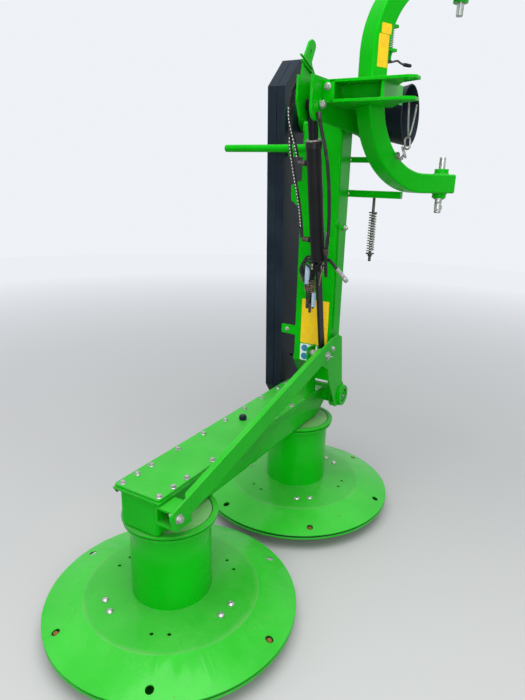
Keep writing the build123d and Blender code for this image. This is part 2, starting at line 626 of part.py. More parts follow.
# Cylinder bracket: the rear cheek, the cross plate that carries it and the pin's two ends
CHEEK_T, CROSS_X, PIN_HEAD_T = 8, 196, 6
CHEEK_Y = LIFT_Y - EYE_GAP - CHEEK_T
with BuildPart() as lift_bracket:
    with BuildSketch(side(CHEEK_Y)):
        with BuildLine():
            Polyline((CROSS_X, 1818), (350, 1818), (354, 1740), (330, 1688), (262, 1678), (CROSS_X, 1740), close=True)
        make_face()
    extrude(amount=-CHEEK_T)
    fillet(lift_bracket.edges().filter_by(Axis.Y).group_by(Axis.X)[-1], 12)
    with BuildSketch(Plane.XY.offset(1745)):
        with Locations((CROSS_X + 5, (CHEEK_Y + MAST_REAR_Y) / 2)):
            Rectangle(10, MAST_REAR_Y - CHEEK_Y)
    extrude(amount=73)
    with BuildSketch(side(CHEEK_Y - PIN_HEAD_T)):
        with Locations(ROD_EYE):
            Circle(17)
    extrude(amount=-PIN_HEAD_T)
    with BuildSketch(side(MAST_REAR_Y)):
        with Locations(ROD_EYE):
            Circle(12 - RUN)
    extrude(amount=-(PLATE_T + 4))
    with BuildSketch(side(MAST_REAR_Y + PLATE_T)):
        with Locations(ROD_EYE):
            Circle(17)
        with Locations((262, 1788)):
            Circle(11)
    extrude(amount=-4)
save(lift_bracket, "lift_bracket")

# Lever on the rear cheek
LEVER_T = 8
LEVER_Y = CHEEK_Y - LEVER_T
with BuildPart() as lever:
    with BuildSketch(side(LEVER_Y)):
        with BuildLine():
            Polyline((305, 1775), (308, 1834), (296, 1882), (262, 1935), (243, 1945), (222, 1941), (212, 1926),
                     (240, 1873), (225, 1841), (228, 1775), close=True)
        make_face()
        fillet(vertices().sort_by(Axis.Y)[-4:], 14)
        with Locations(Location((254, 1895), 112)):
            SlotOverall(34, 10, mode=Mode.SUBTRACT)
    extrude(amount=-LEVER_T)
save(lever, "valve_lever")

# Latch lugs and their spring bolt on the inside of the C frame
LUG_W, LUG_END, BOLT_AT, BOLT_Z = 46, 88, 74, (1895, 2012)
LATCH_AT = C_PLANE.from_local_coords(Vector(BOLT_AT, 0, 0))
# columns: height of the lug's middle, where it meets the bend, both from the frame's centre line
LATCH_LUGS = ((1925, 40), (2000, 61.5))
with BuildPart() as latch:
    for lug_z, lug_start in LATCH_LUGS:
        with BuildSketch(Plane.XY.offset(lug_z - 5)):
            lug_mid = C_PLANE.from_local_coords(Vector((lug_start + LUG_END) / 2, 0, 0))
            with Locations(Location((lug_mid.X, lug_mid.Y), -C_PLANE_TILT)):
                Rectangle(LUG_END - lug_start, LUG_W)
        extrude(amount=10)
    with BuildSketch(Plane.XY.offset(BOLT_Z[0])):
        with Locations((LATCH_AT.X, LATCH_AT.Y)):
            Circle(8)
    extrude(amount=BOLT_Z[1] - BOLT_Z[0])
save(latch, "hitch_latch")

# Lift link, cylinder and rod
LIFT_DIR = Vector(cos(radians(LIFT_ANGLE)), 0, sin(radians(LIFT_ANGLE)))
LINK_PIN_R = 10


def lift_plane(distance):
    """Plane square to the cylinder's axis, this far up from the link's head."""
    return Plane(
        origin=Vector(LINK_HEAD[0], LIFT_Y, LINK_HEAD[1]) + LIFT_DIR * distance,
        x_dir=(0, 1, 0),
        z_dir=LIFT_DIR,
    )


with BuildPart() as link:
    link_mid = ((LINK_FOOT[0] + LINK_HEAD[0]) / 2, (LINK_FOOT[1] + LINK_HEAD[1]) / 2)
    with BuildSketch(side(LIFT_Y - LINK_T / 2)):
        with Locations(Location(link_mid, LIFT_ANGLE)):
            SlotCenterToCenter(LINK_LENGTH, LINK_W)
        with Locations(LINK_FOOT):
            Circle(LIFT_PIN_R + RUN, mode=Mode.SUBTRACT)
        with Locations(LINK_HEAD):
            Circle(LINK_PIN_R + RUN, mode=Mode.SUBTRACT)
    extrude(amount=-LINK_T)
save(link, "lift_link")

CLEVIS_BASE, ROD_IN = 26, 32
LINK_PIN_Y0, LINK_PIN_Y1 = LIFT_Y - 26, LIFT_Y + 26
PORT_R, PORT_OUT = 11, 36
# hose ports on the barrel's rear side, by their place up the barrel
UPPER_PORT_AT, LOWER_PORT_AT = 392, 106
upper_port = lift_plane(UPPER_PORT_AT).origin
lower_port = lift_plane(LOWER_PORT_AT).origin
UPPER_PORT, LOWER_PORT = (upper_port.X, upper_port.Z), (lower_port.X, lower_port.Z)
with BuildPart() as barrel:
    with BuildSketch(lift_plane(CLEVIS_BASE)):
        Circle(BARREL_D / 2)
    extrude(amount=BARREL_L)
    for cheek in (-1, 1):
        cheek_y = LIFT_Y + cheek * 10 - 4
        with BuildSketch(side(cheek_y)):
            with Locations(LINK_HEAD):
                Circle(20)
            foot = lift_plane(CLEVIS_BASE + 2).origin
            with Locations(Location(((LINK_HEAD[0] + foot.X) / 2, (LINK_HEAD[1] + foot.Z) / 2), LIFT_ANGLE)):
                Rectangle(CLEVIS_BASE + 2, 40)
        extrude(amount=-8)
    with BuildSketch(side(LINK_PIN_Y0)):
        with Locations(LINK_HEAD):
            Circle(LINK_PIN_R)
    extrude(amount=-(LINK_PIN_Y1 - LINK_PIN_Y0))
    with BuildSketch(side(LIFT_Y - PORT_OUT)):
        with Locations(UPPER_PORT, LOWER_PORT):
            Circle(PORT_R)
    extrude(amount=-PORT_OUT)
    with BuildSketch(lift_plane(CLEVIS_BASE + ROD_IN - 6)):
        Circle(ROD_D / 2 + RUN)
    extrude(amount=BARREL_L, mode=Mode.SUBTRACT)
save(barrel, "lift_cylinder")

with BuildPart() as rod:
    with BuildSketch(lift_plane(CLEVIS_BASE + ROD_IN)):
        Circle(ROD_D / 2)
    extrude(amount=LIFT_L - CLEVIS_BASE - ROD_IN)
    with BuildSketch(lift_plane(CLEVIS_BASE + BARREL_L + 5)):
        Circle(SLEEVE_D / 2)
    extrude(amount=LIFT_L - CLEVIS_BASE - BARREL_L - 15)
    with BuildSketch(side(LIFT_Y - EYE_W / 2)):
        with Locations(ROD_EYE):
            Circle(EYE_D / 2)
    extrude(amount=-EYE_W)
save(rod, "lift_rod")

# Breakaway bar and spring behind the arm
BREAK_X, BREAK_Z = -143, 1430
with BuildPart() as breakaway:
    for bar_z, bar_y1, bar_h in ((BREAK_Z, 350, 28), (1565, 250, 22)):
        with BuildSketch(side(60)):
            with Locations((BREAK_X, bar_z)):
                Rectangle(28, bar_h)
        extrude(amount=-(bar_y1 - 60))
    with BuildSketch(Plane.XY.offset(BREAK_Z - 40)):
        with Locations(((BREAK_X + ARM_X0) / 2, 85)):
            Rectangle(ARM_X0 - BREAK_X, 50)
    extrude(amount=200)
save(breakaway, "breakaway_bar")

with BuildPart() as spring:
    with BuildSketch(Plane.XY.offset(1180)):
        with Locations((BREAK_X - 13, 231)):
            Circle(17)
    extrude(amount=174)
    with BuildSketch(Plane.XY.offset(1150)):
        with Locations((BREAK_X - 13, 231)):
            Circle(6)
    extrude(amount=BREAK_Z - 14 - SEAT - 1150)
save(spring, "breakaway_spring")

# Check chain from the mast to the lower leg, its points below the middle of the C frame
CHAIN_POINTS = ((160, 452, -97), (152, 450, -194), (150, 432, -262), (37.6, 372.3, -250))
with BuildPart() as chain:
    with BuildLine() as chain_line:
        FilletPolyline(*((x, y, C_MID_Z + drop) for x, y, drop in CHAIN_POINTS), radius=25)
    with BuildSketch(Plane(origin=chain_line.line @ 0, z_dir=chain_line.line % 0)):
        Circle(6)
    sweep()
save(chain, "check_chain")

# Hoses: two from the bracket to the cylinder's ports, one down its front and one loose end
HOSE_D, HOSE_BEND, COUPLER_D, COUPLER_L = 14, 26, 20, 40
HOSE_OFF = HOSE_D / 2 + SEAT
PORT_Y = LIFT_Y - PORT_OUT - SEAT
# columns: name, points from the top end down
HOSES = (
    ("hose_upper_port", ((273, LEVER_Y - HOSE_OFF, 1825), (265, 68, 1803), (258, 42, 1763), (252, 34, 1714),
                         (250, 42, 1653), (248, 56, 1600), (UPPER_PORT[0], 70, UPPER_PORT[1]),
                         (UPPER_PORT[0], PORT_Y, UPPER_PORT[1]))),
    ("hose_lower_port", ((259, LEVER_Y - HOSE_OFF, 1800), (250, 70, 1785), (240, 50, 1750), (236, 42, 1700),
                         (232, 42, 1637), (226, 44, 1568), (220, 49, 1516), (212, 57, 1444), (200, 64, 1370),
                         (LOWER_PORT[0], 72, LOWER_PORT[1]), (LOWER_PORT[0], PORT_Y, LOWER_PORT[1]))),
    ("hose_front", ((312, MAST_REAR_Y + PLATE_T + HOSE_OFF, 1706), (303, 184, 1663), (288, 202, 1585),
                    (264, 208, 1501), (236, 206, 1376), (214, 198, 1284), (196, 184, 1220),
                    (170, LINK_PIN_Y1 + HOSE_OFF, 1172), (158, LINK_PIN_Y1 + HOSE_OFF, 1120))),
    ("hose_loose", ((170, LINK_PIN_Y1 + SEAT + 1.5 * HOSE_D, 1174), (148, 196, 1164), (124, 208, 1146), (100, 228, 1110))),
)
for hose_name, hose_points in HOSES:
    with BuildPart() as hose:
        with BuildLine() as route:
            FilletPolyline(*hose_points, radius=HOSE_BEND)
        with BuildSketch(Plane(origin=route.line @ 0, z_dir=route.line % 0)):
            Circle(HOSE_D / 2)
        sweep()
    save(hose, hose_name)
with BuildPart() as coupler:
    with BuildSketch(Plane(origin=route.line @ 1, z_dir=route.line % 1)):
        Circle(COUPLER_D / 2)
    extrude(amount=COUPLER_L)
save(coupler, "hose_coupler")

# Spare hose tied up in a bundle beside the link
BUNDLE_R, BUNDLE_L = 27, 226
BUNDLE_Y = LINK_PIN_Y0 + 6.6 - BUNDLE_R
BUNDLE_PLANE = Plane(origin=(118, BUNDLE_Y, 968), x_dir=(0, 1, 0), z_dir=(0.14, 0, 1))
with BuildPart() as bundle:
    with BuildSketch(BUNDLE_PLANE):
        Circle(BUNDLE_R - 13)
    with BuildSketch(BUNDLE_PLANE.offset(BUNDLE_L / 3)):
        Circle(BUNDLE_R)
    with BuildSketch(BUNDLE_PLANE.offset(BUNDLE_L)):
        Circle(BUNDLE_R - 7)
    loft(ruled=True)
save(bundle, "hose_bundle")
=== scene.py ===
from math import copysign, cos, pi, radians, sin, tau

import bmesh
import bpy
from mathutils import Matrix, Vector


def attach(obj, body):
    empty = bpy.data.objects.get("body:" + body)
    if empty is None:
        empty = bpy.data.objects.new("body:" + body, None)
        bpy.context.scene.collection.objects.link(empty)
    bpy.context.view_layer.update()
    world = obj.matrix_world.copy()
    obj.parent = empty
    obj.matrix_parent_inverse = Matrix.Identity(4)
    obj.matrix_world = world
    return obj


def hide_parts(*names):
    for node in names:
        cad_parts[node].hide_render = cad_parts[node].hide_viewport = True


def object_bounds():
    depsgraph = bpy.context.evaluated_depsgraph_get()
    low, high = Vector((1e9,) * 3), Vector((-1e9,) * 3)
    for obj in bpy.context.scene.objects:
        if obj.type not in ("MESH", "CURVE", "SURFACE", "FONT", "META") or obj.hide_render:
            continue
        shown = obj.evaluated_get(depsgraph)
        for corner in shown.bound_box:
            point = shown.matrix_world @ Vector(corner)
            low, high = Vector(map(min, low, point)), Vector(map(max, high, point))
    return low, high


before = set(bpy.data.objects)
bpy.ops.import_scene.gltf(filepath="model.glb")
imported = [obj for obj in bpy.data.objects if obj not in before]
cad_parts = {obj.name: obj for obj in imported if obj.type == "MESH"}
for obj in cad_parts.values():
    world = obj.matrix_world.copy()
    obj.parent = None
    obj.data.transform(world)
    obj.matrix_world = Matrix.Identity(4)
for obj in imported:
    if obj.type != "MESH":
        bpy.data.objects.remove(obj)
CAD_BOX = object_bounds()
UP, DOWN = Vector((0, 0, 1)), (0, 0, -1)
FRONT, REAR = (0, 1, 0), (0, -1, 0)
OUTBOARD = (1, 0, 0)


# ---------------------------------------------------------------- nodes


class Nodes:
    """Short calls that make and join the nodes of one tree."""

    def __init__(self, tree):
        self.tree = tree

    def node(self, kind, inputs=None, **settings):
        made = self.tree.nodes.new("ShaderNode" + kind)
        for name, value in settings.items():
            setattr(made, name, value)
        for socket, value in (inputs or {}).items():
            made.inputs[socket].default_value = value
        return made

    def join(self, start, end):
        self.tree.links.new(start, end)

    def ramp(self, value, low, high, start=0.0, end=1.0):
        """value from low..high to start..end, held at both ends."""
        spread = self.node(
            "MapRange", {"From Min": low, "From Max": high, "To Min": start, "To Max": end}
        )
        self.join(value, spread.inputs["Value"])
        return spread.outputs["Result"]

    def combine(self, a, b, operation="MULTIPLY"):
        made = self.node("Math", operation=operation)
        for i, value in enumerate((a, b)):
            if isinstance(value, (int, float)):
                made.inputs[i].default_value = value
            else:
                self.join(value, made.inputs[i])
        return made.outputs[0]

    def mix_shaders(self, share, a, b):
        """Shader a where share is 0 and shader b where it is 1."""
        made = self.node("MixShader")
        self.join(share, made.inputs["Fac"])
        self.join(a.outputs[0], made.inputs[1])
        self.join(b.outputs[0], made.inputs[2])
        return made.outputs[0]


class Finish(Nodes):
    """A material in the making, with short calls for what its look needs."""

    def __init__(self, name):
        self.material = bpy.data.materials.new(name)
        self.material.use_nodes = True
        super().__init__(self.material.node_tree)
        self.shader = self.tree.nodes["Principled BSDF"]
        self.place = self.node("TexCoord")

    def constants(self, **values):
        for name, value in values.items():
            self.shader.inputs[name.replace("_", " ")].default_value = value

    def noise(self, scale, detail=3, roughness=0.55, squeeze=(1, 1, 1), distort=0.0):
        scaled = self.node("Mapping", {"Scale": squeeze})
        self.join(self.place.outputs["Object"], scaled.inputs["Vector"])
        cloud = self.node(
            "TexNoise",
            {"Scale": scale, "Detail": detail, "Roughness": roughness, "Distortion": distort},
        )
        self.join(scaled.outputs[0], cloud.inputs["Vector"])
        return cloud.outputs["Fac"]

    def blend(self, share, a, b):
        """Colour a where share is 0 and colour b where it is 1."""
        made = self.node("Mix", data_type="RGBA")
        self.join(share, made.inputs["Factor"])
        for socket, value in ((made.inputs[6], a), (made.inputs[7], b)):
            if isinstance(value, tuple):
                socket.default_value = (*value, 1)
            else:
                self.join(value, socket)
        return made.outputs[2]

    def upward(self, source):
        """The Z part of the place or of the normal."""
        split = self.node("SeparateXYZ")
        self.join(self.place.outputs[source], split.inputs[0])
        return split.outputs["Z"]

    def facing_up(self):
        """1 where the surface faces up, 0 where it stands or hangs."""
        return self.ramp(self.upward("Normal"), 0.55, 0.98)

    def length(self, vector):
        made = self.node("VectorMath", operation="LENGTH")
        self.join(vector, made.inputs[0])
        return made.outputs["Value"]

    def reach(self, axis_x):
        """Distance from the upright axis of a drum, in metres."""
        moved = self.node("Mapping", {"Location": (-axis_x, 0, 0), "Scale": (1, 1, 0)})
        self.join(self.place.outputs["Object"], moved.inputs["Vector"])
        return self.length(moved.outputs[0])

    def edge(self, radius=0.004):
        """1 along sharp edges, where a rounded edge's normal turns away from the real one."""
        rounded = self.node("Bevel", {"Radius": radius}, samples=4)
        flat = self.node("NewGeometry")
        dot = self.node("VectorMath", operation="DOT_PRODUCT")
        self.join(rounded.outputs[0], dot.inputs[0])
        self.join(flat.outputs["Normal"], dot.inputs[1])
        return self.ramp(dot.outputs["Value"], 0.985, 0.86)

    def colour(self, value):
        self.join(value, self.shader.inputs["Base Color"])

    def rough(self, value):
        self.join(value, self.shader.inputs["Roughness"])

    def bumps(self, value, strength, distance):
        made = self.node("Bump", {"Strength": strength, "Distance": distance})
        self.join(value, made.inputs["Height"])
        self.join(made.outputs[0], self.shader.inputs["Normal"])


# ---------------------------------------------------------------- camera, light, floor

# The photograph's own viewpoint, solved from the drums' discs and the row of machines
EYE = (2.178, 1.080, 1.497)
VIEW_RIGHT = Vector((-0.51343, 0.85777, 0.02481))
VIEW_UP = Vector((-0.24328, -0.17322, 0.95436))
VIEW_BACK = Vector((0.82292, 0.48397, 0.29761))
LENS_MM, FILM_HEIGHT_MM = 28.941, 36

SKY_SEEN, SKY_LIGHT = (0.86, 0.89, 0.93, 1), (0.90, 0.94, 1, 1)
SKY_LOW, SKY_HIGH = 0.16, 0.85          # strength of its light at the horizon and high up
FLOOR_NEAR, FLOOR_FAR = (0.46, 0.46, 0.45, 1), (0.84, 0.87, 0.91, 1)
FLOOR_FADE = (1.2, 6.5)                 # metres out from the origin
FLOOR_RADIUS, FLOOR_MIDDLE_X = 9, 0.5


def set_camera():
    lens = bpy.data.cameras.new("yard_view")
    lens.sensor_fit = "VERTICAL"
    lens.sensor_height = FILM_HEIGHT_MM
    lens.lens = LENS_MM
    view = bpy.data.objects.new("yard_view", lens)
    turn = Matrix((VIEW_RIGHT, VIEW_UP, VIEW_BACK)).transposed().to_4x4()
    view.matrix_world = Matrix.Translation(EYE) @ turn
    bpy.context.scene.collection.objects.link(view)
    bpy.context.scene.camera = view


def set_lamp(name, at, aim, size, power):
    lamp = bpy.data.lights.new(name, "AREA")
    lamp.shape = "DISK"
    lamp.size = size
    lamp.energy = power
    stand = bpy.data.objects.new(name, lamp)
    look = (Vector(aim) - Vector(at)).to_track_quat("-Z", "Y")
    stand.matrix_world = Matrix.Translation(at) @ look.to_matrix().to_4x4()
    bpy.context.scene.collection.objects.link(stand)


def set_world():
    """A pale sky for the camera and for gloss, and a quieter one for what it lights."""
    world = bpy.data.worlds.new("pale_sky")
    world.use_nodes = True
    world.node_tree.nodes.clear()
    sky = Nodes(world.node_tree)
    seen = sky.node("Background", {"Color": SKY_SEEN, "Strength": 1.0})
    lit = sky.node("Background", {"Color": SKY_LIGHT})
    split = sky.node("SeparateXYZ")
    sky.join(sky.node("TexCoord").outputs["Generated"], split.inputs[0])
    dome = sky.ramp(split.outputs["Z"], 0.0, 0.75, SKY_LOW, SKY_HIGH)
    sky.join(dome, lit.inputs["Strength"])
    rays = sky.node("LightPath").outputs
    direct = sky.combine(rays["Is Camera Ray"], rays["Is Transmission Ray"], "MAXIMUM")
    direct = sky.combine(direct, rays["Is Glossy Ray"], "MAXIMUM")
    both = sky.mix_shaders(direct, lit, seen)
    sky.join(both, sky.node("OutputWorld").inputs["Surface"])
    bpy.context.scene.world = world


def lay_floor():
    """A plain floor that the camera sees fade into the sky."""
    bm = bmesh.new()
    bmesh.ops.create_circle(bm, cap_ends=True, segments=96, radius=FLOOR_RADIUS)
    bm.transform(Matrix.Translation((FLOOR_MIDDLE_X, 0, CAD_BOX[0][2])))
    mesh = bpy.data.meshes.new("yard_floor")
    bm.to_mesh(mesh)
    bm.free()
    floor = bpy.data.objects.new("yard_floor", mesh)
    bpy.context.scene.collection.objects.link(floor)
    f = Finish("pale_floor")
    f.constants(Base_Color=FLOOR_NEAR, Roughness=0.9, Specular_IOR_Level=0.2)
    far = f.node("Emission", {"Color": FLOOR_FAR})
    faded = f.ramp(f.length(f.place.outputs["Object"]), *FLOOR_FADE)
    share = f.combine(faded, f.node("LightPath").outputs["Is Camera Ray"])
    both = f.mix_shaders(share, f.shader, far)
    f.join(both, f.tree.nodes["Material Output"].inputs["Surface"])
    mesh.materials.append(f.material)


bpy.context.scene.view_settings.view_transform = "Standard"
set_camera()
set_world()
lay_floor()
set_lamp("sky_panel", (1.5, 0.6, 4.6), (0.5, 0, 0.6), 4.2, 170)
set_lamp("left_panel", (3.2, -2.6, 2.4), (0.4, 0, 0.8), 2.6, 14)
set_lamp("right_panel", (-1.2, 3.6, 2.6), (0, 0, 0.9), 2.4, 5)
set_lamp("front_panel", (3.1, 1.9, 1.7), (0.3, 0.1, 1.1), 2.2, 42)


# ---------------------------------------------------------------- finishes

# Dust colour, also used for the painted sky sheen on up-facing green paint.
DUST_AND_SHEEN = (0.42, 0.40, 0.33)
GRIME = (0.10, 0.12, 0.06)
CHIP = (0.16, 0.15, 0.13)
GREEN_GLINT = (0.10, 1, 0.14, 1)        # tint of the green paint's own gloss
BLUE_GLINT = (0.7, 0.86, 1, 1)          # and of the dark covers'


def paint(name, deep, bright, dust_share, coat, top_dust_and_sheen, settle=None, axis_x=None):
    """Sprayed paint: cloudy, with orange peel, dust and a painted pale sky sheen where it faces up,
    and chips at the edges.

    settle is (low, high, share): dust cakes on what faces up between two heights.
    axis_x is a drum's axis: its disc gets painted shade inside the fold, next to the drum, and a
    line of dust along the fold.
    """
    f = Finish(name)
    cloud = f.noise(2.6, detail=5)
    patch = f.noise(11, detail=4, distort=0.6)
    body = f.blend(f.ramp(cloud, 0.3, 0.7), deep, bright)
    up = f.facing_up()
    fold = None
    if axis_x is not None:
        reach = f.reach(axis_x)
        # Painted shade: inside the fold the disc's up-facing face is blended towards a darker copy
        # of its green.
        painted_inner_shade = f.combine(f.ramp(reach, 0.297, 0.303, 1, 0), up)
        body = f.blend(f.combine(painted_inner_shade, 0.22), body, tuple(0.45 * c for c in deep))
        fold = f.combine(f.ramp(reach, 0.270, 0.299), f.ramp(reach, 0.301, 0.306, 1, 0))
    grain = f.ramp(f.noise(140, detail=4), 0.35, 0.75)
    settled = f.ramp(patch, 0.36, 0.78)
    veil = f.combine(f.combine(up, settled), f.combine(grain, dust_share))
    # Partly dust and partly a painted sky sheen: every up-facing face is lightened evenly towards
    # the dust colour.
    dust_and_sky_sheen = f.combine(up, f.ramp(cloud, 0.35, 0.65, 0.5 * top_dust_and_sheen, top_dust_and_sheen))
    veil = f.combine(veil, dust_and_sky_sheen, "ADD")
    if settle:
        low, high, share = settle
        height = f.upward("Object")
        band = f.combine(
            f.combine(height, low, "GREATER_THAN"), f.combine(height, high, "LESS_THAN")
        )
        cake = f.combine(f.combine(band, up), f.ramp(patch, 0.2, 0.5, share * 0.6, share))
        veil = f.combine(veil, cake, "MAXIMUM")
    if fold is not None:
        line = f.combine(fold, f.ramp(patch, 0.3, 0.6, 0.10, 0.20))
        veil = f.combine(veil, line, "MAXIMUM")
    dusted_and_sheened = f.blend(veil, body, DUST_AND_SHEEN)
    speck = f.ramp(f.noise(95, detail=2), 0.68, 0.72, 0, 0.55)
    dirty = f.blend(f.combine(speck, f.ramp(cloud, 0.4, 0.6, 0.1, 0.9)), dusted_and_sheened, GRIME)
    wear = f.combine(f.edge(), f.ramp(f.noise(60, detail=4), 0.52, 0.62))
    f.colour(f.blend(wear, dirty, CHIP))
    f.rough(f.combine(f.ramp(patch, 0.3, 0.7, 0.24, 0.38), f.combine(veil, 0.5), "ADD"))
    f.bumps(f.noise(230, detail=2), 0.05, 0.0006)
    f.constants(
        Coat_Weight=coat, Coat_Roughness=0.14, Specular_IOR_Level=0.14, Specular_Tint=GREEN_GLINT
    )
    return f.material


def bright_metal(name, colour, stain, stain_share, roughness):
    """Zinc plate or bare steel: brushed, with stains that creep from the edges."""
    f = Finish(name)
    cloud = f.noise(38, detail=5, roughness=0.65)
    scratch = f.noise(260, detail=3, squeeze=(1, 1, 0.12))
    plain = f.blend(f.ramp(scratch, 0.3, 0.7), tuple(0.82 * c for c in colour), colour)
    share = f.ramp(cloud, 0.5, 0.68, 0, stain_share)
    f.colour(f.blend(f.combine(share, f.combine(f.edge(0.002), 0.4), "MAXIMUM"), plain, stain))
    f.rough(f.combine(f.ramp(cloud, 0.3, 0.7, roughness, roughness + 0.16), share, "ADD"))
    f.bumps(scratch, 0.12, 0.0004)
    f.constants(Metallic=0.85, Specular_IOR_Level=0.5)
    return f.material


def dark_cover(name, colour, pale, roughness, grain=0.16, coat=0.0):
    """Black plastic or dark paint: fine grain, faint dust, a painted pale sky sheen on what faces
    up, and rubbed, paler edges.
    """
    f = Finish(name)
    cloud = f.noise(5, detail=5)
    fine = f.noise(420, detail=2)
    worn = f.combine(f.edge(), f.ramp(f.noise(70), 0.4, 0.65, 0.1, 0.8))
    # Painted sky sheen: up-facing faces are lightened towards the pale colour; the cloudy patches
    # are faint dust.
    top = f.combine(f.facing_up(), 0.7)
    dust_and_sky_sheen = f.combine(f.ramp(cloud, 0.42, 0.75, 0, 0.5), top, "MAXIMUM")
    dusted_and_sheened = f.blend(f.combine(dust_and_sky_sheen, f.ramp(fine, 0.3, 0.7, 0.25, 0.6)), colour, pale)
    f.colour(f.blend(worn, dusted_and_sheened, pale))
    f.rough(f.ramp(cloud, 0.3, 0.7, roughness - 0.05, roughness + 0.12))
    f.bumps(fine, grain, 0.0005)
    f.constants(
        Coat_Weight=coat, Coat_Roughness=0.25, Specular_IOR_Level=0.13, Specular_Tint=BLUE_GLINT
    )
    return f.material


def rubber(name, colour, pale):
    """Hose cover: fine cloth-wrapped rubber, with chalky rubs."""
    f = Finish(name)
    wrap = f.node("TexWave", {"Scale": 160, "Distortion": 1.5}, bands_direction="Z")
    f.join(f.place.outputs["Object"], wrap.inputs["Vector"])
    rub = f.ramp(f.noise(32, detail=4), 0.52, 0.7, 0, 0.22)
    f.colour(f.blend(rub, colour, pale))
    f.rough(f.ramp(f.noise(60), 0.3, 0.7, 0.42, 0.62))
    f.bumps(wrap.outputs["Fac"], 0.12, 0.0004)
    f.constants(Specular_IOR_Level=0.28)
    return f.material


def rusty(name):
    """Bare pin steel gone orange."""
    f = Finish(name)
    cloud = f.noise(120, detail=5, roughness=0.7)
    f.colour(f.blend(f.ramp(cloud, 0.35, 0.65), (0.26, 0.13, 0.03), (0.09, 0.05, 0.02)))
    f.rough(f.ramp(cloud, 0.3, 0.7, 0.6, 0.9))
    f.bumps(cloud, 0.5, 0.0008)
    f.constants(Specular_IOR_Level=0.1)
    return f.material


def foil(name, colour, faded):
    """Satin film or tape without print, a little faded and dirty."""
    f = Finish(name)
    cloud = f.noise(26, detail=5)
    speck = f.ramp(f.noise(180, detail=3), 0.62, 0.7, 0, 0.5)
    base = f.blend(f.ramp(cloud, 0.4, 0.7), colour, faded)
    f.colour(f.blend(speck, base, (0.20, 0.16, 0.08)))
    f.rough(f.ramp(cloud, 0.3, 0.7, 0.32, 0.5))
    f.bumps(f.noise(40), 0.06, 0.0006)
    f.constants(Coat_Weight=0.05, Coat_Roughness=0.3, Specular_IOR_Level=0.2)
    return f.material


GREEN = paint("green_paint", (0.001, 0.35, 0.002), (0.003, 0.46, 0.005), 0.10, 0.05, 0.08)
GREEN_DISC = {
    drum: paint(
        f"green_{drum}_disc", (0.001, 0.36, 0.003), (0.004, 0.49, 0.008), 0.10, 0.30, 0.09, axis_x=x
    )
    for drum, x in (("inner", 0), ("outer", 0.92))
}
GREEN_HOUSING = paint(
    "green_housing_paint", (0.001, 0.34, 0.003), (0.004, 0.47, 0.007), 0.12, 0.08, 0.12,
    settle=(0.4235, 0.4275, 0.42),
)
# Their pale colours serve the dust, the rubbed edges and the painted sky sheen on up-facing faces.
BLACK_PAINT = dark_cover(
    "black_paint", (0.007, 0.006, 0.007), (0.05, 0.045, 0.042), 0.28, 0.08, 0.08
)
BLACK_PLASTIC = dark_cover("black_plastic", (0.007, 0.011, 0.017), (0.045, 0.062, 0.082), 0.40)
GUARD = dark_cover("guard_paint", (0.005, 0.010, 0.017), (0.050, 0.072, 0.098), 0.34, 0.08, 0.05)
DARK_STEEL = bright_metal("dark_steel", (0.10, 0.09, 0.085), (0.14, 0.06, 0.03), 0.4, 0.40)
ZINC = bright_metal("zinc", (0.50, 0.52, 0.50), (0.20, 0.19, 0.16), 0.55, 0.24)
HOSE = rubber("hose_rubber", (0.012, 0.012, 0.013), (0.16, 0.16, 0.15))
GREY_CHAIN = bright_metal("grey_chain", (0.34, 0.34, 0.32), (0.16, 0.12, 0.08), 0.6, 0.36)
RUST = rusty("rusted_pin")
YELLOW_FOIL = foil("yellow_foil", (0.95, 0.60, 0.006), (0.90, 0.52, 0.02))
WHITE_FOIL = foil("white_foil", (0.80, 0.86, 0.86), (0.70, 0.74, 0.72))
BLUE_FOIL = foil("blue_foil", (0.03, 0.20, 0.42), (0.06, 0.26, 0.46))
BLUE_BAND = foil("blue_band", (0.30, 0.42, 0.58), (0.40, 0.50, 0.62))
HOSE_PRINT = foil("hose_print", (0.84, 0.84, 0.80), (0.66, 0.66, 0.62))
TWINE = foil("brown_twine", (0.16, 0.09, 0.06), (0.28, 0.18, 0.13))

SLOT_FINISH = {
    "green_paint": GREEN,
    "black_paint": BLACK_PAINT,
    "black_plastic": BLACK_PLASTIC,
    "dark_steel": DARK_STEEL,
    "zinc": ZINC,
    "hose_rubber": HOSE,
}
NODE_FINISH = {
    "belt_guard_outer": GUARD,
    "belt_guard_inner": GUARD,
    "cutterbar_housing": GREEN_HOUSING,
    "housing_cover": GREEN_HOUSING,
    "drum_inner": GREEN_DISC["inner"],
    "drum_outer": GREEN_DISC["outer"],
}


def dress_cad_nodes():
    """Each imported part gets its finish, merged corners and small rounded edges."""
    for name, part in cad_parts.items():
        own = part.data.materials[0].name if part.data.materials else ""
        finish = NODE_FINISH.get(name)
        if finish is None:
            finish = next((f for s, f in SLOT_FINISH.items() if own.startswith(s)), GREEN)
        part.data.materials.clear()
        part.data.materials.append(finish)
        for polygon in part.data.polygons:
            polygon.use_smooth = True
        weld = part.modifiers.new("merge_corners", "WELD")
        weld.merge_threshold = 0.00002
        plane = part.modifiers.new("whole_faces", "DECIMATE")
        plane.decimate_type = "DISSOLVE"
        plane.angle_limit = radians(0.4)
        soft = part.modifiers.new("rounded_edges", "BEVEL")
        soft.limit_method = "ANGLE"
        soft.angle_limit = radians(32)
        soft.width = 0.0012
        soft.segments = 2
        soft.profile = 0.5
        soft.use_clamp_overlap = False
        even = part.modifiers.new("even_shading", "WEIGHTED_NORMAL")
        even.keep_sharp = False
        even.weight = 90


dress_cad_nodes()


# ---------------------------------------------------------------- forms for small pieces
# Their sizes are in millimetres.


def mm(*at):
    return Vector(at) / 1000


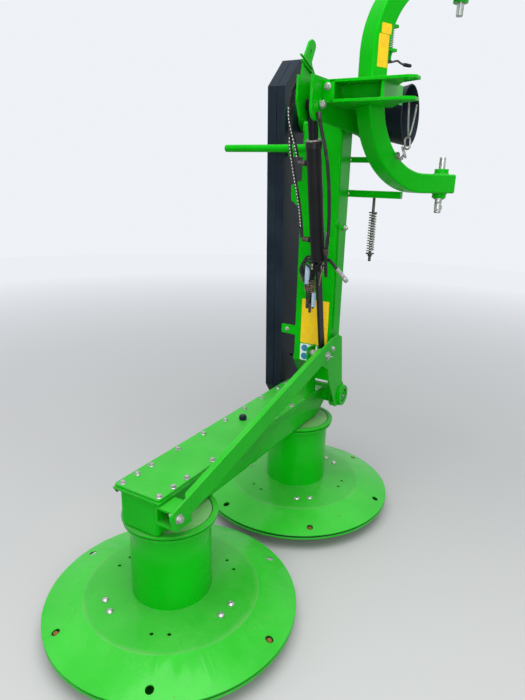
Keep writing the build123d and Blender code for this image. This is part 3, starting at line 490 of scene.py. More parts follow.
def aimed(at, along=UP, turn=0.0):
    """Place for a form made about its own +Z: foot at a point, axis along a direction."""
    aim = Vector(along).to_track_quat("Z", "Y").to_matrix().to_4x4()
    return Matrix.Translation(at) @ aim @ Matrix.Rotation(turn, 4, "Z")


def faced(at, right, up):
    """Place for a flat form made in its own XY: right and up say how it lies, its front is +Z."""
    x, y = Vector(right).normalized(), Vector(up).normalized()
    z = x.cross(y).normalized()
    y = z.cross(x)
    return Matrix.Translation(at) @ Matrix((x, y, z)).transposed().to_4x4()


def merge(bm, form):
    """Take a form's geometry over into another and free it."""
    scratch = bpy.data.meshes.new("scratch")
    form.to_mesh(scratch)
    form.free()
    bm.from_mesh(scratch)
    bpy.data.meshes.remove(scratch)


def piece(name, body, finish, forms, sharp=38):
    """One named piece that rides on a body, made of (form, place) pairs."""
    bm = bmesh.new()
    for form, place in forms:
        form.transform(place)
        merge(bm, form)
    mesh = bpy.data.meshes.new(name)
    bm.to_mesh(mesh)
    bm.free()
    for face in mesh.polygons:
        face.use_smooth = True
    mesh.set_sharp_from_angle(angle=radians(sharp))
    mesh.materials.append(finish)
    made = bpy.data.objects.new(name, mesh)
    bpy.context.scene.collection.objects.link(made)
    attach(made, body)
    return made


def turned(profile, steps=28):
    """A lathe part: (radius, height) pairs spun about +Z."""
    bm = bmesh.new()
    line = [bm.verts.new((r / 1000, 0, z / 1000)) for r, z in profile]
    edges = [bm.edges.new(pair) for pair in zip(line, line[1:])]
    bmesh.ops.spin(
        bm, geom=line + edges, cent=(0, 0, 0), axis=(0, 0, 1), angle=tau, steps=steps,
        use_merge=True,
    )
    bmesh.ops.remove_doubles(bm, verts=bm.verts, dist=0.000005)
    bmesh.ops.dissolve_degenerate(bm, dist=0.000002, edges=bm.edges)
    bmesh.ops.recalc_face_normals(bm, faces=bm.faces)
    return bm


def disc(radius, thick, steps=28):
    return turned([(0, 0), (radius, 0), (radius, thick), (0, thick)], steps)


def soften(bm, edges, width, segments=2):
    bmesh.ops.bevel(
        bm, geom=edges, offset=width / 1000, offset_type="OFFSET", segments=segments, profile=0.5,
        affect="EDGES", clamp_overlap=True, material=-1,
    )


def hexagon(across, height, round_over=1.2):
    """A hexagon bar end, its top edge broken as a forged head's is."""
    bm = bmesh.new()
    r = across / 2 / cos(pi / 6) / 1000
    bmesh.ops.create_cone(bm, cap_ends=True, segments=6, radius1=r, radius2=r, depth=height / 1000)
    bmesh.ops.translate(bm, verts=bm.verts, vec=(0, 0, height / 2000))
    top = [e for e in bm.edges if all(v.co.z > height / 1001 for v in e.verts)]
    soften(bm, top, round_over)
    bmesh.ops.recalc_face_normals(bm, faces=bm.faces)
    return bm


def block(width, depth, height, round_all=1.0):
    """A bar or plate with broken edges, centred, its foot at z 0."""
    bm = bmesh.new()
    bmesh.ops.create_cube(bm, size=1)
    bmesh.ops.scale(bm, verts=bm.verts, vec=(width / 1000, depth / 1000, height / 1000))
    bmesh.ops.translate(bm, verts=bm.verts, vec=(0, 0, height / 2000))
    soften(bm, bm.edges[:], round_all)
    return bm


def cut_plate(outline, thick):
    """A plate cut to an outline in its own XY, thick upward."""
    bm = bmesh.new()
    corners = [bm.verts.new((x / 1000, y / 1000, 0)) for x, y in outline]
    sheet = bm.faces.new(corners)
    grown = bmesh.ops.extrude_face_region(bm, geom=[sheet])
    moved = [v for v in grown["geom"] if isinstance(v, bmesh.types.BMVert)]
    bmesh.ops.translate(bm, verts=moved, vec=(0, 0, thick / 1000))
    bmesh.ops.recalc_face_normals(bm, faces=bm.faces)
    soften(bm, bm.edges[:], 0.8)
    return bm


def sticker(width, height, corner, thick=0.5):
    """A blank foil with rounded corners."""
    bm = bmesh.new()
    bmesh.ops.create_cube(bm, size=1)
    bmesh.ops.scale(bm, verts=bm.verts, vec=(width / 1000, height / 1000, thick / 1000))
    uprights = [e for e in bm.edges if abs(e.verts[0].co.z - e.verts[1].co.z) > 0.0001]
    soften(bm, uprights, corner, 5)
    return bm


def bar_end(radius, bar, sides=8):
    """The round section of a bar, out at a radius and ready to be spun about +Z."""
    bm = bmesh.new()
    bmesh.ops.create_circle(bm, cap_ends=False, segments=sides, radius=bar / 1000)
    bm.transform(Matrix.Translation(mm(radius, 0, 0)) @ Matrix.Rotation(pi / 2, 4, "X"))
    return bm


def ring(radius, bar, steps=40, sides=8):
    """A closed ring of round bar, both sizes being radii."""
    bm = bar_end(radius, bar, sides)
    bm.transform(Matrix.Rotation(pi / steps, 4, "Z"))
    bmesh.ops.spin(
        bm, geom=bm.verts[:] + bm.edges[:], cent=(0, 0, 0), axis=(0, 0, 1), angle=tau,
        steps=steps, use_merge=True,
    )
    bmesh.ops.remove_doubles(bm, verts=bm.verts, dist=0.000005)
    bmesh.ops.recalc_face_normals(bm, faces=bm.faces)
    return bm


def chain_link(length, width, wire):
    """An oval link lying in its own XY, long along Y."""
    bm = ring((width - wire) / 2, wire / 2, steps=20)
    for corner in bm.verts:
        corner.co.y += copysign((length - width) / 2000, corner.co.y)
    return bm


def coil(radius, bar, turns, length):
    """A wound spring standing on z 0."""
    bm = bar_end(radius, bar)
    total = round(14 * turns)
    bmesh.ops.spin(
        bm, geom=bm.verts[:] + bm.edges[:], cent=(0, 0, 0), axis=(0, 0, 1),
        dvec=(0, 0, length / 1000 / total), angle=tau * turns, steps=total,
    )
    bmesh.ops.holes_fill(bm, edges=bm.edges, sides=8)
    bmesh.ops.recalc_face_normals(bm, faces=bm.faces)
    return bm


def flanged_bolt(across, washer):
    """Hexagon head with its flange: about as high as two thirds of its width."""
    r, top = washer / 2, across * 0.2
    bm = turned([(0, 0), (r, 0), (r, across * 0.1), (across * 0.56, top), (0, top)])
    merge(bm, hexagon(across, across * 0.62, across * 0.09))
    return bm


def dome(width, height):
    """A cup head."""
    r = width / 2
    sides = [(r, 0), (r, height * 0.22), (r * 0.86, height * 0.62), (r * 0.55, height * 0.9)]
    return turned([(0, 0), *sides, (0, height)], 24)


def lock_nut(across, height, stud, out):
    """A hexagon nut with the end of its stud standing out."""
    bm = hexagon(across, height, across * 0.07)
    r, top = stud / 2, height + out
    merge(bm, turned([(0, 0), (r, 0), (r, top - 1.5), (r - 1.5, top), (0, top)], 20))
    return bm


def bent_rod(name, points, radius, body, finish, closed=False, segments=10):
    """Round bar, wire or hose along a smooth line through the run of points."""
    line = bpy.data.curves.new(name, "CURVE")
    line.dimensions = "3D"
    run = line.splines.new("NURBS")
    run.points.add(len(points) - 1)
    for spot, at in zip(run.points, points):
        spot.co = (*mm(*at), 1)
    run.order_u = 3
    run.use_endpoint_u = not closed
    run.use_cyclic_u = closed
    run.resolution_u = segments
    line.bevel_depth = radius / 1000
    line.bevel_resolution = 3
    line.use_fill_caps = True
    line.materials.append(finish)
    made = bpy.data.objects.new(name, line)
    bpy.context.scene.collection.objects.link(made)
    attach(made, body)
    return made


def round_points(centre, radius, angles):
    """Points round a centre, in the upright plane that faces the front."""
    x, y, z = centre
    return [(x + radius * cos(radians(a)), y, z + radius * sin(radians(a))) for a in angles]


# ---------------------------------------------------------------- cutterbar

HINGE_X, HINGE_Z = -125, 524            # axis on which the arm folds
LINK_X, LINK_Z = 81, 770                # the lift link's pin on the tower
STAY_END_X, STAY_END_Z = 1079, 538      # the stay's bolt at the housing's outer end
COVER_TOP = 570
COVER_BOLTS_X = (1061, 996, 929, 791, 644, 499, 359, 221, 78, 0)
# columns: name, its axis in X, angle of its first knife
DRUMS = (("inner", 0, 37), ("outer", 920, -30))

piece("cover_bolts", "cutterbar", ZINC, [
    (flanged_bolt(15, 21), aimed(mm(x, y, COVER_TOP), UP, 0.7 * i + y))
    for i, x in enumerate(COVER_BOLTS_X)
    for y in (-68, 79)
])
piece("breather_plug", "cutterbar", BLACK_PLASTIC, [(
    turned([(0, 0), (13, 0), (13, 4), (15, 5), (15, 14), (12.5, 18.5), (6, 20.5), (0, 21)]),
    aimed(mm(452, -17, COVER_TOP)),
)])
piece("flange_bolt_tail", "cutterbar", DARK_STEEL, [
    (lock_nut(13, 7, 8, 5), aimed(mm(1071, -84, 552), DOWN)),
])
piece("stay_bolts", "cutterbar", ZINC, [
    (disc(15, 2.6), aimed(mm(STAY_END_X, 166, STAY_END_Z), FRONT)),
    (flanged_bolt(19, 25), aimed(mm(STAY_END_X, 168, STAY_END_Z), FRONT, 0.3)),
    (flanged_bolt(17, 24), aimed(mm(34, 166, 791), FRONT, 0.2)),
    (
        turned([(12, 0), (20, 0), (20, 2.5), (12, 2.5), (12, 0)]),
        aimed(mm(LINK_X, 166, LINK_Z), FRONT),
    ),
    (lock_nut(17, 10, 12, 7), aimed(mm(STAY_END_X, 150, STAY_END_Z), REAR)),
])

COLLAR_RING = [(141, 0), (158.5, 0), (158.5, 1.6), (157.5, 2.6), (142, 2.6), (141, 1.6), (141, 0)]
for label, axis_x, _ in DRUMS:
    piece(f"collar_clamp_ring_{label}", "cutterbar", GREEN, [
        (turned(COLLAR_RING, 120), aimed(mm(axis_x, 0, 424.8))),
    ], sharp=30)
    piece(f"collar_joint_{label}", "cutterbar", BLACK_PLASTIC, [
        (ring(139.6, 1.3, 120), aimed(mm(axis_x, 0, 425.2))),
    ])

piece("hinge_pin_end", "cutterbar", GREEN, [(
    turned([(0, 0), (26, 0), (26, 9), (22, 12), (13, 12), (13, 8), (0, 8)], 36),
    aimed(mm(HINGE_X, 156, HINGE_Z), FRONT),
)])
piece("hinge_seal", "cutterbar", BLACK_PLASTIC, [(
    turned([(26.2, 0), (29.6, 0), (29.6, 8.5), (28.2, 10), (26.2, 8.5), (26.2, 0)], 36),
    aimed(mm(HINGE_X, 157, HINGE_Z), FRONT),
)])
piece("hinge_grease_nipple", "cutterbar", ZINC, [(
    turned([(0, 0), (4, 0), (4, 4), (2.4, 5), (2.4, 8), (3.4, 9.5), (2, 12), (0, 12)], 16),
    aimed(mm(HINGE_X + 4, 164, HINGE_Z), FRONT),
)])
piece("link_pin_clip", "cutterbar", ZINC, [
    (ring(9, 1.6, 24), faced(mm(LINK_X, 184, LINK_Z), FRONT, (1, 0, 0.4))),
])

# The stay's upper edge is folded back
STAY_CORNER = mm(1085.8, 158, 569)
stay_run = (mm(44.7, 158, 833.9) - STAY_CORNER).normalized()
piece("stay_folded_edge", "cutterbar", GREEN, [(
    cut_plate([(0, 0), (935, 0), (935, -4), (925, -14), (14, -14), (0, -4)], 6),
    faced(STAY_CORNER + stay_run * 0.055, stay_run, FRONT),
)])

# Welds of the hinge tower and of the stay's channel
bent_rod(
    "tower_tube_weld", round_points((HINGE_X, 159, HINGE_Z), 49, range(0, 360, 30)), 3,
    "cutterbar", GREEN, closed=True,
)
for name, xs, y, z, bead in (
    ("tower_cover_weld", (16, 60, 113), 92, 571, 3),
    ("channel_weld_top", (1008, 1040, 1078), 85, 549, 2.6),
    ("channel_weld_low", (1008, 1040, 1078), 85, 495, 2.6),
):
    bent_rod(name, [(x, y, z) for x in xs], bead, "cutterbar", GREEN)


# ---------------------------------------------------------------- drums and discs

DRUM_FOOT_R, DRUM_FOOT_Z = 136, 130
DISC_FOLD_R, DISC_FOLD_Z = 300, 119
DISC_SLOPE = (DRUM_FOOT_Z - DISC_FOLD_Z) / (DISC_FOLD_R - DRUM_FOOT_R)
HOLDER_BOLT_R, HOLDER_BOLT_ANGLE = 228, 7.4
HOLDER_BOLT_Z = DRUM_FOOT_Z - DISC_SLOPE * (HOLDER_BOLT_R - DRUM_FOOT_R)
KNIFE_PIN_R, KNIFE_PIN_Z = 0.393, 0.0715   # metres
KNIFE_PIN = [(0, 0), (9.6, 0), (9.6, 13.5), (8.2, 16), (3, 17.2), (0, 17.2)]
RIM_LIP = [(429.5, 73.4), (427.5, 70), (427.5, 64), (433, 61.5), (433.4, 58.5), (431, 57.5),
           (425, 60), (425, 73.4), (429.5, 73.4)]
# Painted shade: a black band set in the neck under the disc's rim, where the rim overhangs the
# lower lip.
RIM_NECK_SHADE = [(426, 64.4), (428.6, 64.4), (428.6, 69.4), (426, 69.4), (426, 64.4)]


def outward(angle):
    return Vector((cos(radians(angle)), sin(radians(angle)), 0))


for label, axis_x, first in DRUMS:
    unit, knives = "drum_unit_" + label, [first + 120 * n for n in range(3)]
    foot, disc_green = mm(axis_x, 0, 0), GREEN_DISC[label]
    bolt_middle = mm(axis_x, 0, HOLDER_BOLT_Z)
    bolt_angles = [a + off for a in knives for off in (-HOLDER_BOLT_ANGLE, HOLDER_BOLT_ANGLE)]
    piece(f"holder_bolts_{label}", unit, ZINC, [
        (
            dome(24, 8),
            aimed(bolt_middle + outward(a) * (HOLDER_BOLT_R / 1000), UP + outward(a) * DISC_SLOPE),
        )
        for a in bolt_angles
    ])
    piece(f"knife_pin_ends_{label}", unit, RUST, [
        (turned(KNIFE_PIN), aimed(foot + outward(a) * KNIFE_PIN_R + UP * KNIFE_PIN_Z))
        for a in knives
    ])
    piece(f"disc_lower_lip_{label}", unit, disc_green, [
        (turned(RIM_LIP, 160), aimed(foot)),
    ], sharp=30)
    # The black band in the rim's neck is painted shade.
    piece(f"disc_rim_groove_{label}", unit, BLACK_PLASTIC, [
        (turned(RIM_NECK_SHADE, 160), aimed(foot)),
    ], sharp=30)
    piece(f"drum_foot_weld_{label}", unit, disc_green, [
        (ring(136.5, 2.4, 120), aimed(mm(axis_x, 0, DRUM_FOOT_Z))),
    ])


# ---------------------------------------------------------------- carrying arm

PIVOT_X, PIVOT_Z = -125, 1728           # the pivot tube and the input shaft above the arm's foot
GUARD_FACE_Y = -182                     # the belt guard's side away from the photo
ARM_FACE_X = 5.3                        # a foil's middle on the arm's face
SPRING_X, SPRING_Y = -156, 231

piece("guard_tab_bolts", "arm", ZINC, [
    (flanged_bolt(13, 22), aimed(mm(5, -88, 1585), OUTBOARD, 0.4)),
    (flanged_bolt(13, 20), aimed(mm(5, -72, 835), OUTBOARD, 0.9)),
])
# columns: how far from the guard's middle line, height
GUARD_BOLTS = ((0, 1925), (148, 1800), (138, 1500), (126, 1180), (112, 860), (98, 580))
piece("guard_cover_bolts", "arm", ZINC, [
    (flanged_bolt(13, 20), aimed(mm(x, GUARD_FACE_Y, z), REAR, 0.01 * z))
    for off, z in GUARD_BOLTS
    for x in sorted({PIVOT_X - off, PIVOT_X + off})
])
piece("guard_inspection_plug", "arm", BLACK_PLASTIC, [
    (
        turned([(0, 0), (36, 0), (36, 3), (33, 5), (12, 5), (10, 8), (0, 8)], 48),
        aimed(mm(PIVOT_X, GUARD_FACE_Y, z), REAR),
    )
    for z in (PIVOT_Z, HINGE_Z)
])

piece("yellow_arm_foil", "arm", YELLOW_FOIL, [
    (sticker(129, 200, 5), faced(mm(ARM_FACE_X, 62.5, 884), FRONT, UP)),
])
piece("white_arm_foil", "arm", WHITE_FOIL, [
    (sticker(84, 76, 5), faced(mm(ARM_FACE_X, 40, 742), FRONT, UP)),
])
piece("blue_foil_dots", "arm", BLUE_FOIL, [
    (disc(15.5, 0.4, 40), aimed(mm(5.4, y, z), OUTBOARD))
    for y, z in ((20, 761), (60, 761), (20, 723), (60, 723))
])

# Breakaway: wound spring on its rod, hooked to the bar
breakaway_coil = piece("breakaway_coil", "arm", ZINC, [
    (coil(14.5, 2.5, 15, 160), aimed(mm(SPRING_X, SPRING_Y, 1192))),
])
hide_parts("breakaway_spring")
piece("breakaway_rod", "arm", DARK_STEEL, [
    (
        turned([(0, 0), (6, 0), (6, 262), (5, 264), (0, 264)]),
        aimed(mm(SPRING_X, SPRING_Y, 1151)),
    ),
    (disc(18, 4), aimed(mm(SPRING_X, SPRING_Y, 1182))),
    (disc(18, 4), aimed(mm(SPRING_X, SPRING_Y, 1353))),
    (lock_nut(17, 9, 12, 4), aimed(mm(SPRING_X, SPRING_Y, 1181), DOWN)),
])
piece("breakaway_bar_bolts", "arm", ZINC, [
    (flanged_bolt(17, 24), aimed(mm(-143, 90, 1442), UP, 0.5)),
    (flanged_bolt(13, 18), aimed(mm(-129, 120, 1430), OUTBOARD, 0.2)),
    (flanged_bolt(17, 24), aimed(mm(-143, 90, 1577), UP, 0.5)),
    (flanged_bolt(13, 18), aimed(mm(-129, 120, 1565), OUTBOARD, 0.2)),
])

piece("catch_pin_head", "arm", ZINC, [
    (turned([(0, 0), (13, 0), (13, 3), (11, 4), (0, 4)]), aimed(mm(-27, 163.5, 1295), FRONT)),
    (flanged_bolt(13, 17), aimed(mm(-27, 166, 1295), FRONT, 0.5)),
])
piece("catch_clamp", "arm", GREEN, [(
    cut_plate([(-32, -12), (26, -12), (32, 0), (26, 12), (-32, 12)], 5),
    faced(mm(-22, 139, 1308), (1, 0, 0.1), UP),
)])

# Welds where the pivot tube leaves the arm
for where, y in (("front", 139), ("rear", -36)):
    bead = round_points((PIVOT_X, y, PIVOT_Z), 56, range(-150, 61, 30))
    bent_rod(f"pivot_weld_{where}", bead, 3.2, "arm", GREEN)

# Bell guard: rolled mouth, foot ring and screws
piece("bell_rolled_mouth", "arm", BLACK_PLASTIC, [
    (ring(110, 2.6, 72, 10), aimed(mm(PIVOT_X, 359, PIVOT_Z), FRONT)),
    (ring(82.5, 2.2, 64), aimed(mm(PIVOT_X, 226, PIVOT_Z), FRONT)),
])
piece("bell_screws", "arm", ZINC, [
    (dome(9, 3.5), aimed(mm(*at), FRONT))
    for at in round_points((PIVOT_X, 222, PIVOT_Z), 58, range(30, 360, 60))
])
piece("curtain_tube_plugs", "arm", BLACK_PLASTIC, [
    (
        turned([(0, 0), (12, 0), (12, 3), (14.5, 3), (14.5, 4.5), (0, 5.5)]),
        aimed(mm(68, y, 1600), way),
    )
    for y, way in ((-361, REAR), (18, FRONT))
])


# ---------------------------------------------------------------- hitch head

C_OUT = Vector((0.42262, 0.90631, 0))   # square to the C frame's plane, towards the front
C_IN = Vector((-0.90631, 0.42262, 0))   # into the C's opening
C_MID = Vector((0.120, 0.288, 1.834))
FOIL_OUT = 37.8                         # a foil's middle, out from the frame's centre line
LATCH_IN = 74
ROD_EYE_X, ROD_EYE_Z = 285, 1731


def on_frame(inward, up, out):
    """A point by the C frame's own directions, millimetres from its middle."""
    return C_MID + (C_IN * inward + UP * up + C_OUT * out) / 1000


def leaning(angle):
    """The way a foil points up along the frame's bend."""
    return C_IN * sin(radians(angle)) + UP * cos(radians(angle))


piece("yellow_frame_foils", "head", YELLOW_FOIL, [
    (sticker(48, 103, 4), faced(on_frame(5.5, 78, FOIL_OUT), C_IN, leaning(5))),
    (sticker(46, 32, 4), faced(on_frame(14.5, 147, FOIL_OUT), C_IN, leaning(15))),
])
piece("mast_side_plate", "head", GREEN, [(
    cut_plate([(172, 1739), (214, 1739), (214, 1810), (172, 1810)], 8),
    faced(mm(264, 0, 0), FRONT, UP),
)])
piece("mast_bolts", "head", ZINC, [
    (disc(13, 2.4), aimed(mm(272, 190, 1789), OUTBOARD)),
    (flanged_bolt(16, 22), aimed(mm(274, 190, 1789), OUTBOARD, 0.3)),
    (lock_nut(17, 8, 10, 4), aimed(mm(262, 175.6, 1788), FRONT, 0.3)),
])
piece("rod_pin_nut", "head", ZINC, [
    (disc(15, 3), aimed(mm(ROD_EYE_X, 175.6, ROD_EYE_Z), FRONT)),
    (lock_nut(24, 9, 14, 4), aimed(mm(ROD_EYE_X, 178.3, ROD_EYE_Z), FRONT, 0.15)),
    (
        turned([(0, 0), (13, 0), (13, 3), (9, 4), (0, 4)]),
        aimed(mm(ROD_EYE_X, 104.4, ROD_EYE_Z), REAR),
    ),
])

# Latch: spring round its bolt, handle and the gusset under the lower lug
piece("latch_spring", "head", ZINC, [(coil(11, 1.5, 8, 58), aimed(on_frame(LATCH_IN, 98, 0)))])
piece("latch_gusset", "head", GREEN, [(
    cut_plate([(37, 86), (86, 86), (82, 74), (60, 32), (37, 26)], 7),
    faced(on_frame(0, 0, -3.5), C_IN, UP),
)])
piece("latch_bolt_end", "head", DARK_STEEL, [(
    turned([(0, 0), (13, 0), (13, 5), (10, 8), (0, 8)]),
    aimed(on_frame(LATCH_IN, 53, 0), UP),
)])
LATCH_HANDLE = ((70, 57, 6), (84, 56, 2), (100, 60, 0), (118, 66, 0), (136, 58, 0), (152, 56, 0),
                (186, 56, 0))
handle_points = [tuple(1000 * c for c in on_frame(*at)) for at in LATCH_HANDLE]
bent_rod("latch_handle", handle_points, 3.6, "head", DARK_STEEL)
piece("latch_handle_grip", "head", BLACK_PLASTIC, [(
    turned([(0, 0), (5.5, 0), (6.5, 3), (6.2, 34), (4.5, 37), (0, 37)]),
    aimed(on_frame(152, 56, 0), C_IN),
)])

# Lever: braces between its foot and the bracket's top
piece("lever_braces", "head", GREEN, [
    (block(8, 4, 96), aimed(mm(238 + 0.3 * off, 113, 1836 + off), (93, 0, 33)))
    for off in (0, 15)
])
piece("lever_bolt", "head", ZINC, [(flanged_bolt(15, 22), aimed(mm(240, 102, 1787), REAR, 0.5))])

# Check chain: shackle in the mast's lower plate, five twisted links, hook on the frame
SHACKLE = [(204, 455, 1738), (200, 455, 1712), (176, 452, 1650), (155, 450, 1630),
           (138, 451, 1650), (121, 455, 1712), (119, 456, 1738)]
CHAIN_HOOK = [(67, 386, 1578), (52, 379, 1582), (42, 376, 1584), (37, 374, 1584), (33, 371, 1584)]
# columns: length, middle, which way it faces across and along
CHAIN_LINKS = (
    (46, (154, 447, 1612), (0.1, 1, 0.1), (0.1, 0.15, -1)),
    (44, (152, 437, 1583), (1, 0.1, 0.1), (0.15, 0.45, -1)),
    (44, (136, 425, 1564), (0.1, 0.6, 0.8), (1, 0.55, 0.15)),
    (44, (106, 409, 1567), (0.4, -0.8, 0.4), (1, 0.55, -0.15)),
    (44, (76, 392, 1574), (0.1, 0.2, 1), (1, 0.55, -0.15)),
)
chain_shackle = bent_rod("chain_shackle", SHACKLE, 3.3, "head", GREY_CHAIN)
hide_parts("check_chain")
piece("chain_links", "head", GREY_CHAIN, [
    (chain_link(length, 26, 7), faced(mm(*at), across, along))
    for length, at, across, along in CHAIN_LINKS
])
bent_rod("chain_hook", CHAIN_HOOK, 4.4, "head", ZINC)

# Lower-link pins: collar against the frame, linch pin and its ring outside each leg
LINK_PIN_X, LINK_PIN_Y = -267, 468.5
for where, z, way in (("low", 1421.5, -1), ("high", 2246.5, 1)):
    piece(f"pin_collar_{where}", "head", ZINC, [(
        turned([(14.2, 0), (22, 0), (22, 4), (20, 5), (14.2, 5), (14.2, 0)], 32),
        aimed(mm(LINK_PIN_X, LINK_PIN_Y, z), (0, 0, way)),
    )])
    piece(f"linch_pin_{where}", "head", ZINC, [
        (
            turned([(0, 0), (4, 0), (5, 2), (5, 42), (3, 46), (0, 46)], 16),
            aimed(mm(LINK_PIN_X - 20, LINK_PIN_Y - 10, z + way * 47), (0.9, 0.42, 0)),
        ),
        (
            ring(15, 1.6, 28),
            faced(mm(LINK_PIN_X + 8, LINK_PIN_Y + 4, z + way * 38), (-0.42, 0.9, 0), UP),
        ),
    ])

# Welds of the bosses, the mast's plates and its pivot ring
for up, way in ((-355, -1), (-355, 1), (355, -1), (355, 1)):
    piece(f"boss_weld_{up}_{way}".replace("-", "m"), "head", GREEN, [
        (ring(29, 2.8), aimed(on_frame(427, up, 0) + UP * way * 0.038, (0, 0, way))),
    ])
for i, (x0, x1, y) in enumerate(((70, 260, 209), (190, 258, 375), (70, 110, 375))):
    run = [(x, y, 1749) for x in (x0, (x0 + x1) / 2, x1)]
    bent_rod(f"mast_weld_{i}", run, 2.8, "head", GREEN)
piece("mast_ring_weld", "head", GREEN, [
    (ring(80.5, 2.8, 60), aimed(mm(PIVOT_X, 199, PIVOT_Z), FRONT)),
])


# ---------------------------------------------------------------- lift cylinder

LINK_FOOT = Vector((0.081, 0.140, 0.770))
LIFT = (Vector((0.285, 0.140, 1.731)) - LINK_FOOT).normalized()
LINK_HEAD = LINK_FOOT + LIFT * 0.396


def up_lift(distance):
    return LINK_HEAD + LIFT * (distance / 1000)


piece("cylinder_gland", "cylinder", GREY_CHAIN, [(
    turned([(18.6, 0), (28.6, 0), (28.6, 3), (27, 5), (18.6, 5), (18.6, 0)], 40),
    aimed(up_lift(468), LIFT),
)])
piece("cylinder_head_nut", "cylinder", BLACK_PAINT, [(
    turned([(28, 0), (30, 1.5), (30, 22), (28.5, 24), (28, 24), (28, 0)], 40),
    aimed(up_lift(440), LIFT),
)])
for label, distance in (("upper", 392), ("lower", 106)):
    at = up_lift(distance)
    piece(f"port_fitting_{label}", "cylinder", DARK_STEEL, [
        (hexagon(19, 10), aimed(Vector((at.x, 0.1035, at.z)), REAR, 0.2)),
        (
            turned([(0, 0), (9.5, 0), (9.5, 16), (8.2, 18), (0, 18)], 24),
            aimed(Vector((at.x, 0.104, at.z)), REAR),
        ),
    ])
piece("link_head_pin_ends", "cylinder", ZINC, [
    (form, aimed(Vector((LINK_HEAD.x, y, LINK_HEAD.z)), (0, way, 0)))
    for way, face_y in ((1, 0.166), (-1, 0.114))
    for form, y in (
        (disc(15, 2.4), face_y - way * 0.008),
        (turned([(0, 0), (9.8, 0), (9.8, 1.4), (8.6, 2.6), (0, 2.6)]), face_y),
    )
])
CYLINDER_PIPE = [(179, 172, 1294), (174, 173, 1255), (169, 172.6, 1220), (166, 172, 1197)]
bent_rod("cylinder_pipe", CYLINDER_PIPE, 4, "cylinder", ZINC)


# ---------------------------------------------------------------- hoses

HOSE_R = 7
PRINT_SIDE = Vector((0.94, -0.02, 0.30))   # the side of a hose that was photographed
PRINT_STEP = 0.0118
UPPER_HOSE = [
    (273, 94.7, 1825), (268, 58, 1802), (267, 43, 1756), (263, 38, 1702), (259, 48, 1652),
    (252, 62, 1604), (246, 70, 1566), (244.63, 74, 1540.82), (244.63, 88, 1540.82),
]
LOWER_HOSE = [
    (259, 94.7, 1800), (251, 60, 1786), (246, 42, 1748), (243, 37, 1700), (239, 33, 1646),
    (235, 33, 1596), (228, 41, 1540), (221, 51, 1482), (212, 62, 1424), (201, 70, 1356),
    (188, 72, 1292), (185.24, 73, 1261.06), (185.24, 88, 1261.06),
]
FRONT_HOSE = [
    (312, 179.3, 1706), (303, 184, 1663), (288, 202, 1585), (264, 208, 1501), (236, 206, 1376),
    (214, 198, 1284), (196, 184, 1220), (170, 173.3, 1172), (158, 173.3, 1120),
]
LOOSE_HOSE = [(174, 187.3, 1188), (152, 188, 1180), (134, 198, 1158), (112, 217, 1127)]


def line_points(cord):
    """The points along a cord's own smooth line, read from it without its thickness."""
    bare = bpy.data.objects.new("scratch", cord.data.copy())
    bare.data.bevel_depth = 0
    bpy.context.scene.collection.objects.link(bare)
    line = bpy.data.meshes.new_from_object(bare)
    points = [v.co.copy() for v in line.vertices]
    bpy.data.objects.remove(bare)
    bpy.data.meshes.remove(line)
    return points


def line_length(cord):
    points = line_points(cord)
    return round(sum((b - a).length for a, b in zip(points, points[1:])), 3)


def printed_dashes(cord, start, end):
    """The broken line printed along a hose, between two distances from its top, in metres."""
    points = line_points(cord)
    passed, due = 0, start
    for a, b in zip(points, points[1:]):
        span = (b - a).length
        along = (b - a).normalized()
        out = (PRINT_SIDE - along * PRINT_SIDE.dot(along)).normalized()
        while due < min(passed + span, end):
            at = a.lerp(b, (due - passed) / span) + out * 0.0068
            place = faced(at - along * 0.003, out.cross(along), out)
            yield block(3.2, 0.6, 6, 0.2), place
            due += PRINT_STEP
        passed += span


def hose(name, points, node, with_pieces=(), printed=None):
    """One of the lift's hoses on the route that its solid follows."""
    made = bent_rod(name, points, HOSE_R, "cylinder", HOSE, segments=14)
    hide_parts(node)
    pieces = list(with_pieces)
    if printed:
        dashes = printed_dashes(made, *printed)
        pieces.append(piece(name + "_print", "cylinder", HOSE_PRINT, dashes))
    mm(*points[0])
    line_length(made)


hose("upper_port_hose", UPPER_HOSE, "hose_upper_port", printed=(0.12, 0.29))
hose("lower_port_hose", LOWER_HOSE, "hose_lower_port", printed=(0.20, 0.52))
hose("front_hose", FRONT_HOSE, "hose_front")

loose_end = mm(*LOOSE_HOSE[-1])
coupling = piece("hose_coupling", "cylinder", ZINC, [(
    turned([(0, -6), (7.1, -6), (7.1, -34), (9, -34), (9.2, -5), (8.4, -3), (8.4, 0), (9.8, 1),
            (9.8, 12), (8.6, 14), (8.6, 17), (10, 19), (10, 36), (8, 40), (5, 40), (5, 32),
            (0, 32)], 32),
    aimed(loose_end, (loose_end - mm(*LOOSE_HOSE[-2])).normalized()),
)])
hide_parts("hose_coupler")
hose("loose_hose", LOOSE_HOSE, "hose_loose", [coupling])

LONG_CRIMP = [(7.2, 0), (9.4, 1), (9.4, 22), (8.4, 24), (7.2, 24), (7.2, 0)]
PORT_CRIMP = [(7.2, 0), (9.4, 1), (9.4, 12), (7.2, 13), (7.2, 0)]
for label, profile, at, along in (
    ("upper_top", LONG_CRIMP, UPPER_HOSE[0], (-5, -42.7, -23)),
    ("lower_top", LONG_CRIMP, LOWER_HOSE[0], (-8, -34.7, -14)),
    ("front_top", LONG_CRIMP, FRONT_HOSE[0], (-9, 4.7, -43)),
    ("front_low", LONG_CRIMP, (199, 185.4, 1232), (-18, -5, -46)),
    ("upper_port", PORT_CRIMP, UPPER_HOSE[-1], REAR),
    ("lower_port", PORT_CRIMP, LOWER_HOSE[-1], REAR),
):
    piece(f"hose_crimp_{label}", "cylinder", DARK_STEEL, [
        (turned(profile, 28), aimed(mm(*at), along)),
    ])


